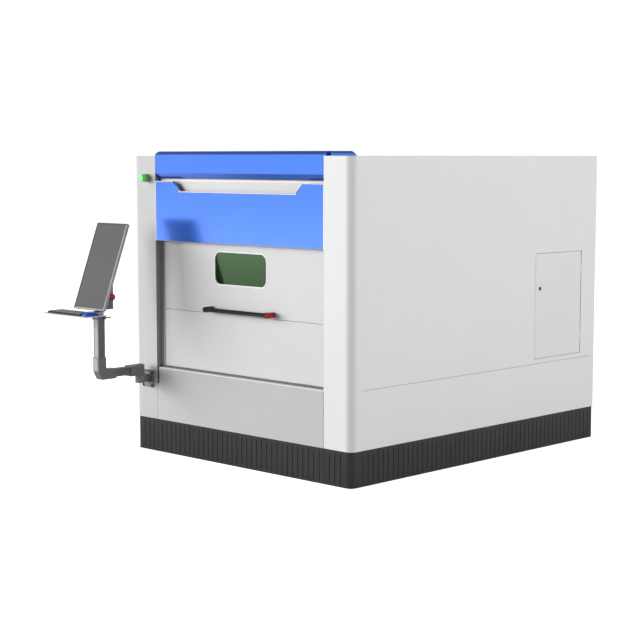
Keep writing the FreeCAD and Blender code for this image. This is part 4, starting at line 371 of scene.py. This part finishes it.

# Door belts and guides: black toothed belts, and drawn steel channels in grey for the door's shoes. The
# channels show beside the door as a lip with a dark line of painted shade in the gap beside the leaf, and a
# cream painted highlight at their upper ends.
black_rubber = finish("black rubber", (0.022, 0.022, 0.022), (0.016, 0.016, 0.016), (0.05, 0.05, 0.05),
                      (0.6, 0.8), tooth=(600.0, 0.3))
guide_coat = finish("grey guide coat", (0.48, 0.48, 0.482), (0.45, 0.45, 0.452), (0.55, 0.55, 0.55),
                    (0.4, 0.55))
# Painted shade: a dark line on each lip, in the gap beside the door leaf.
for gap_shade_line in (-0.7225, 0.7225):
    zone(guide_coat, (gap_shade_line - 0.0025, -1.2, 0.0), (gap_shade_line + 0.0025, -1.1, 1.72), (0.12, 0.12, 0.12))
# Painted highlight: the channels' upper ends are cream.
zone(guide_coat, (-0.8, -1.2, 1.72), (0.8, -1.1, 1.9), (0.85, 0.83, 0.78))
dress(black_rubber, "door_belts")
dress(guide_coat, "door_guide_left", "door_guide_right")

# Casing: folded steel sheets in a fine white powder coat. The left shell, which stands in the shade, has a
# greyer coat as painted shade; the pillars' inner returns are darker with painted shade of the recess, and
# the pressed line along each side wall is dark with painted shade.
white_coat = finish("white powder coat", (0.80, 0.80, 0.80), (0.785, 0.785, 0.788), (0.88, 0.88, 0.87),
                    (0.42, 0.55))
right_coat = finish("white shell coat", (0.80, 0.80, 0.80), (0.785, 0.785, 0.788), (0.88, 0.88, 0.87),
                    (0.42, 0.55))
# Painted shade: the left shell's coat is greyer than the right shell's.
left_coat_painted_shade = finish("white shell coat, left", (0.56, 0.56, 0.56), (0.54, 0.54, 0.543), (0.80, 0.80, 0.79),
                   (0.42, 0.55))
# Painted shade: each pillar's inner return in the door recess is darker.
# Painted shade: the pressed line along each side wall is dark.
for coat, inside in ((right_coat, 0.17), (left_coat_painted_shade, 0.31)):
    zone(coat, (-0.7485, -1.1992, 0.0), (0.7485, -1.1, 2.0), (inside, inside, inside))
    zone(coat, (-1.0, -1.1, 0.5584), (1.0, 1.164, 0.5616), (0.38, 0.38, 0.385), 0.0003)
dress(white_coat, "roof_panel", "rear_panel")
dress(right_coat, "side_shell_right")
dress(left_coat_painted_shade, "side_shell_left")

# Front panel, cabinet partition and the laser source's case: folded sheet in a light grey powder coat. The
# front panel's upper fold is lighter, a painted highlight along its rounded edge, and its right end is dark
# where it meets the pillar.
panel_coat = finish("grey powder coat", (0.55, 0.55, 0.552), (0.53, 0.53, 0.532), (0.70, 0.70, 0.70),
                    (0.42, 0.55))
# Painted highlight along the front panel's upper fold.
zone(panel_coat, (-0.8, -1.21, 0.5445), (0.8, -1.15, 0.56), (0.86, 0.86, 0.86))
zone(panel_coat, (0.7395, -1.21, 0.0), (0.8, -1.15, 0.545), (0.33, 0.33, 0.33))
dress(panel_coat, "lower_front_panel", "partition", "laser_source")
grey_rubber = finish("grey rubber", (0.17, 0.17, 0.17), (0.15, 0.15, 0.15), (0.25, 0.25, 0.25), (0.6, 0.8),
                     tooth=(600.0, 0.3))
dress(grey_rubber, "ledge_seal")

# Header, hood and fascia: folded sheet in a strong blue coat under clear lacquer; the header is left plain.
# The fascia's edges carry a cream painted highlight, and its foot a thin dark line.
blue_coat = finish("blue powder coat", (0.020, 0.205, 1.0), (0.019, 0.196, 0.96), (0.05, 0.22, 1.0),
                   (0.20, 0.28), metallic=0.86, coat=1.0)
fascia_coat = finish("fascia blue coat", (0.020, 0.205, 1.0), (0.019, 0.196, 0.96), (1.0, 0.90, 0.78),
                     (0.20, 0.28), edge=0.005, metallic=0.86, coat=1.0)
for lacquered in (blue_coat, fascia_coat):
    feed(lacquered.node_tree, lacquered.node_tree.nodes["Principled BSDF"],
         {"Coat IOR": 1.8, "Coat Roughness": 0.17})
# Cream painted highlights along the fascia's edges, here and in the edge colour of its finish.
for low, high in (((-0.76, -1.21, 1.737), (-0.575, -1.19, 1.75)),
                  ((0.575, -1.21, 1.737), (0.76, -1.19, 1.75)),
                  ((-0.52, -1.21, 1.674), (0.52, -1.19, 1.69)),
                  ((-0.76, -1.21, 1.3), (-0.7405, -1.19, 1.75)),
                  ((0.7405, -1.21, 1.3), (0.76, -1.19, 1.75))):
    zone(fascia_coat, low, high, (1.0, 0.88, 0.74))
zone(fascia_coat, (-0.7405, -1.21, 1.36), (0.7405, -1.19, 1.367), (0.40, 0.32, 0.30))
dress(blue_coat, "header", "hood_cover")
dress(fascia_coat, "fascia")

# Door leaves: folded sheet in a darker white, painted shade of the recess under the fascia, with a painted
# highlight on the edges and a cream painted highlight along the top edge.
# The pull handle is a black tube on moulded shanks with red end caps.
# Painted shade: the door's white is darker than the casing's; its edges carry a painted highlight.
door_coat_painted_light = finish("door powder coat", (0.70, 0.70, 0.70), (0.68, 0.68, 0.683), (0.95, 0.94, 0.95),
                   (0.42, 0.55), edge=0.004)
# Cream painted highlight along the door's top edge.
zone(door_coat_painted_light, (-0.76, -1.25, 1.742), (0.76, -1.1, 1.757), (1.0, 0.90, 0.76))
red_moulding = finish("red moulding", (0.50, 0.010, 0.014), (0.44, 0.008, 0.012), (0.75, 0.06, 0.06),
                      (0.22, 0.35), edge=0.002)
dress(door_coat_painted_light, "door_upper", "door_lower")
dress(black_moulding, "handle_tube", "handle_shanks")
dress(red_moulding, "handle_caps")

# Window: a deep green laser-safe pane held in the groove of a pale rubber gasket. The pane shows nothing of
# the inside, as in the photograph.
white_rubber = finish("white rubber", (0.95, 0.93, 0.95), (0.90, 0.88, 0.90), (0.97, 0.95, 0.97), (0.5, 0.65),
                      edge=0.001)
glass = finish("laser glass", (0.043, 0.079, 0.039), (0.041, 0.075, 0.037), (0.08, 0.14, 0.07), (0.05, 0.08),
               tooth=(60.0, 0.01), cloud=1.0, edge=0.001, metallic=0.92)
feed(glass.node_tree, glass.node_tree.nodes["Principled BSDF"], {"Specular IOR Level": 0.1})
dress(white_rubber, "window_gasket")
dress(glass, "window_glass")

# Service door: folded sheet in the casing's white on two hinges, closed by a black moulded quarter-turn lock.
# Its edges are a little brighter, part wear and part painted highlight.
service_coat = finish("service door coat", (0.78, 0.78, 0.78), (0.765, 0.765, 0.768), (0.9, 0.9, 0.9),
                      (0.42, 0.55), edge=0.003)
dress(service_coat, "service_door")
dress(black_moulding, "service_lock")

# Signal lamp: a moulded green barrel let into the left pillar, with a paler lens for its front half.
# The lens is a zone of the same material.
lamp_green = finish("lamp green", (0.20, 0.44, 0.16), (0.18, 0.40, 0.14), (0.22, 0.50, 0.20), (0.15, 0.3),
                    edge=0.001)
zone(lamp_green, (-1.0, -1.3, 1.7), (-0.7, -1.228, 1.8), (0.28, 0.90, 0.25))
dress(lamp_green, "signal_lamp")

# Control arm: drawn aluminium tubes and cast joints in a mid grey satin coat, with painted light down the
# front face of the post and its cast joint, and painted highlights on the edges. The wall plate, in a lighter
# silver grey with painted highlights on its edges, is held by four socket screws.
painted_light_grey = (0.42, 0.42, 0.42)
arm_coat = finish("arm satin grey", (0.150, 0.150, 0.152), (0.135, 0.135, 0.137), painted_light_grey, (0.35, 0.5),
                  edge=0.0025)
# Painted light: the post's front face is lighter grey.
zone(arm_coat, (-0.849, -1.632, 0.5), (-0.811, -1.6205, 0.879), painted_light_grey)
cast_coat = finish("cast arm grey", (0.20, 0.20, 0.202), (0.18, 0.18, 0.182), painted_light_grey, (0.4, 0.55),
                   edge=0.0025, tooth=(500.0, 0.2))
# Painted light: the cast joint's front face is lighter grey, like the post's.
zone(cast_coat, (-0.8495, -1.65, 0.5555), (-0.8105, -1.6205, 0.6365), painted_light_grey)
bracket_coat = finish("bracket silver grey", (0.27, 0.27, 0.272), (0.20, 0.20, 0.202), (0.62, 0.62, 0.62),
                      (0.3, 0.45), edge=0.004, cloud=20.0)
dress(arm_coat, "arm_tube", "arm_post", "screen_bracket", "clamp_lever")
dress(cast_coat, "arm_knuckle", "arm_elbow")
dress(bracket_coat, "arm_bracket")
wall_plate_front = -1.208
socket_screws("wall_plate_screws", "machine", black_screw, 0.0075, (0, -1, 0),
              [(x, wall_plate_front, z) for x in (-0.872, -0.788) for z in (0.426, 0.504)])


# Screen: a thin housing in silver coat, with painted shade along its bezel's left and top edges, and a grey
# glass let into it. The glass is a separate pane laid in the recess of the leaning housing.
def slab(form, low, high, round_edges=0.0):
    """A box between two corners, its upright edges rounded, added to a bmesh; its corners are returned."""
    size = Vector(high) - Vector(low)
    middle = (Vector(high) + Vector(low)) / 2
    corners = bmesh.ops.create_cube(form, size=1.0, matrix=Matrix.Translation(middle)
                                    @ Matrix.Diagonal((*size, 1)))["verts"]
    if round_edges:
        upright = [edge for edge in form.edges if set(edge.verts) <= set(corners)
                   and abs(edge.verts[0].co.z - edge.verts[1].co.z) > 0.5 * size.z]
        bmesh.ops.bevel(form, geom=upright, offset=round_edges, offset_type="OFFSET", segments=3,
                        profile=0.5, affect="EDGES", material=-1)
    return corners


screen_coat = finish("screen silver", (0.50, 0.50, 0.50), (0.30, 0.30, 0.30), (0.7, 0.7, 0.7), (0.3, 0.4),
                     cloud=240.0)
# Painted shade along the bezel's left and top edges.
zone(screen_coat, (-1.0, -1.7, 0.9), (-0.9708, -1.4, 1.5), (0.045, 0.045, 0.05))
zone(screen_coat, (-1.0, -1.7, 1.4695), (-0.66, -1.4, 1.5), (0.09, 0.09, 0.09))
dress(screen_coat, "screen_housing")
screen_glass = finish("screen glass", (0.125, 0.125, 0.125), (0.120, 0.120, 0.121), (0.06, 0.06, 0.06),
                      (0.3, 0.34), tooth=(900.0, 0.02), cloud=1.0, edge=0.0008)
feed(screen_glass.node_tree, screen_glass.node_tree.nodes["Principled BSDF"], {"Specular IOR Level": 0.25})
lean = math.radians(20.5)
up_slope, outward = Vector((0, math.sin(lean), math.cos(lean))), Vector((0, -math.cos(lean), math.sin(lean)))
housing_foot, pane_rise, pane_sink = Vector((-0.83, -1.679, 0.949)), 0.283, 0.0010
pane_middle = housing_foot + pane_rise * up_slope - pane_sink * outward
pane = bmesh.new()
slab(pane, (-0.1406, -0.0004, -0.2736), (0.1406, 0.0004, 0.2736))
bmesh.ops.transform(pane, verts=pane.verts,
                    matrix=Matrix.Translation(pane_middle) @ Matrix.Rotation(-lean, 4, "X"))
piece("screen_pane", pane, "control_head", screen_glass)

# Keyboard tray and stop button: a folded aluminium shelf in silver coat, and a red moulded button on its
# yellow ring beside the screen.
silver_coat = finish("silver coat", (0.74, 0.74, 0.745), (0.70, 0.70, 0.705), (0.80, 0.80, 0.80), (0.3, 0.42))
yellow_moulding = finish("yellow moulding", (0.60, 0.42, 0.02), (0.54, 0.38, 0.02), (0.70, 0.50, 0.10),
                         (0.3, 0.4))
dress(silver_coat, "keyboard_tray")
dress(yellow_moulding, "estop_base")
dress(red_moulding, "estop_button")

# Keyboard: a low black moulded case with six rows of separate grey keys, blank, the rim of each falling away
# round its top. It lies loose on the tray.
key_coat = finish("key moulding", (0.025, 0.025, 0.026), (0.02, 0.02, 0.021), (0.08, 0.08, 0.08), (0.4, 0.55),
                  edge=0.0006)
zone(key_coat, (-1.1, -1.9, 0.9385), (-0.6, -1.7, 0.95), (0.26, 0.26, 0.265), 0.001)
case_low, case_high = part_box("keyboard")
board = bmesh.new()
plain_row = [1.0] * 15
key_rows = [plain_row] * 4 + [[2.25] + [1.0] * 10 + [2.75], [1.25, 1.25, 1.25, 6.25, 1.25, 1.25, 2.5]]
margin, key_gap, key_foot = 0.007, 0.0012, 0.0045
across = (case_high.x - case_low.x - 2 * margin) / 15
along = (case_high.y - case_low.y - 2 * margin) / 6
for row, widths in enumerate(key_rows):
    reach = case_low.x + margin
    back = case_high.y - margin - along * row
    for width in widths:
        low = Vector((reach + key_gap, back - along + key_gap, case_high.z - key_foot))
        high = Vector((reach + across * width - key_gap, back - key_gap, case_high.z))
        key = slab(board, low, high)
        top = max({face for vert in key for face in vert.link_faces},
                  key=lambda face: face.calc_center_median().z)
        bmesh.ops.inset_individual(board, faces=[top], thickness=0.0012)
        bmesh.ops.translate(board, verts=[vert for vert in key if vert.co.z > (low.z + high.z) / 2],
                            vec=(0, 0, -0.0010))
        reach += across * width
case_drop, case_corner = 0.004, 0.006
slab(board, case_low, (case_high.x, case_high.y, case_high.z - case_drop), case_corner)
piece("keyboard_keys", board, "control_head", key_coat, "keyboard")

# Mouse: a low, rounded blue moulded shell, highest behind its middle, with a rubber wheel let in at the
# front. It lies loose on the tray.
mouse_blue = finish("mouse blue", (0.008, 0.07, 0.66), (0.008, 0.06, 0.60), (0.02, 0.25, 0.85), (0.2, 0.3),
                    edge=0.003)
# Painted light: the shell's left part is a lighter blue, lit by the lamp at the left front.
zone(mouse_blue, (-0.7, -1.9, 0.9), (-0.655, -1.7, 0.96), (0.02, 0.26, 0.80), 0.012)
shell_low, shell_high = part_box("mouse")
shell_size = shell_high - shell_low
mouse = bmesh.new()
bmesh.ops.create_cube(mouse, size=1.0, matrix=Matrix.Translation((0, 0, 0.5)))
bmesh.ops.subdivide_edges(mouse, edges=mouse.edges, cuts=5, use_grid_fill=True)
for vert in mouse.verts:
    run = vert.co.y + 0.5
    crown = 0.62 + 0.38 * math.sin(math.pi * (0.08 + 0.84 * run ** 0.8))
    corner = 1.0 - 0.16 * (2 * abs(vert.co.y)) ** 4
    side_fall = 1.0 - 0.30 * (2 * abs(vert.co.x)) ** 3
    vert.co.x *= corner * (1.0 - 0.08 * vert.co.z)
    vert.co.z *= crown * side_fall
    vert.co.x = shell_low.x + shell_size.x * (vert.co.x + 0.5)
    vert.co.y = shell_low.y + shell_size.y * (0.5 + vert.co.y * (1.0 - 0.05 * vert.co.z))
    vert.co.z = shell_low.z + shell_size.z * vert.co.z
mouse_shell = piece("mouse_shell", mouse, "control_head", mouse_blue, "mouse", smooth=True)
rounding = mouse_shell.modifiers.new("rounding", "SUBSURF")
rounding.levels = rounding.render_levels = 1
wheel_radius, wheel_width, wheel_back, wheel_sink = 0.0075, 0.006, 0.022, 0.0085
wheel = bmesh.new()
hub = Matrix.Translation(((shell_low.x + shell_high.x) / 2, shell_high.y - wheel_back,
                          shell_high.z - wheel_sink))
bmesh.ops.create_cone(wheel, cap_ends=True, segments=24, radius1=wheel_radius, radius2=wheel_radius,
                      depth=wheel_width, matrix=hub @ Matrix.Rotation(math.pi / 2, 4, "Y"))
bmesh.ops.bevel(wheel, geom=wheel.edges[:], offset=0.0006, offset_type="OFFSET", segments=2, profile=0.5,
                affect="EDGES", material=-1)
piece("mouse_wheel", wheel, "control_head", black_rubber)
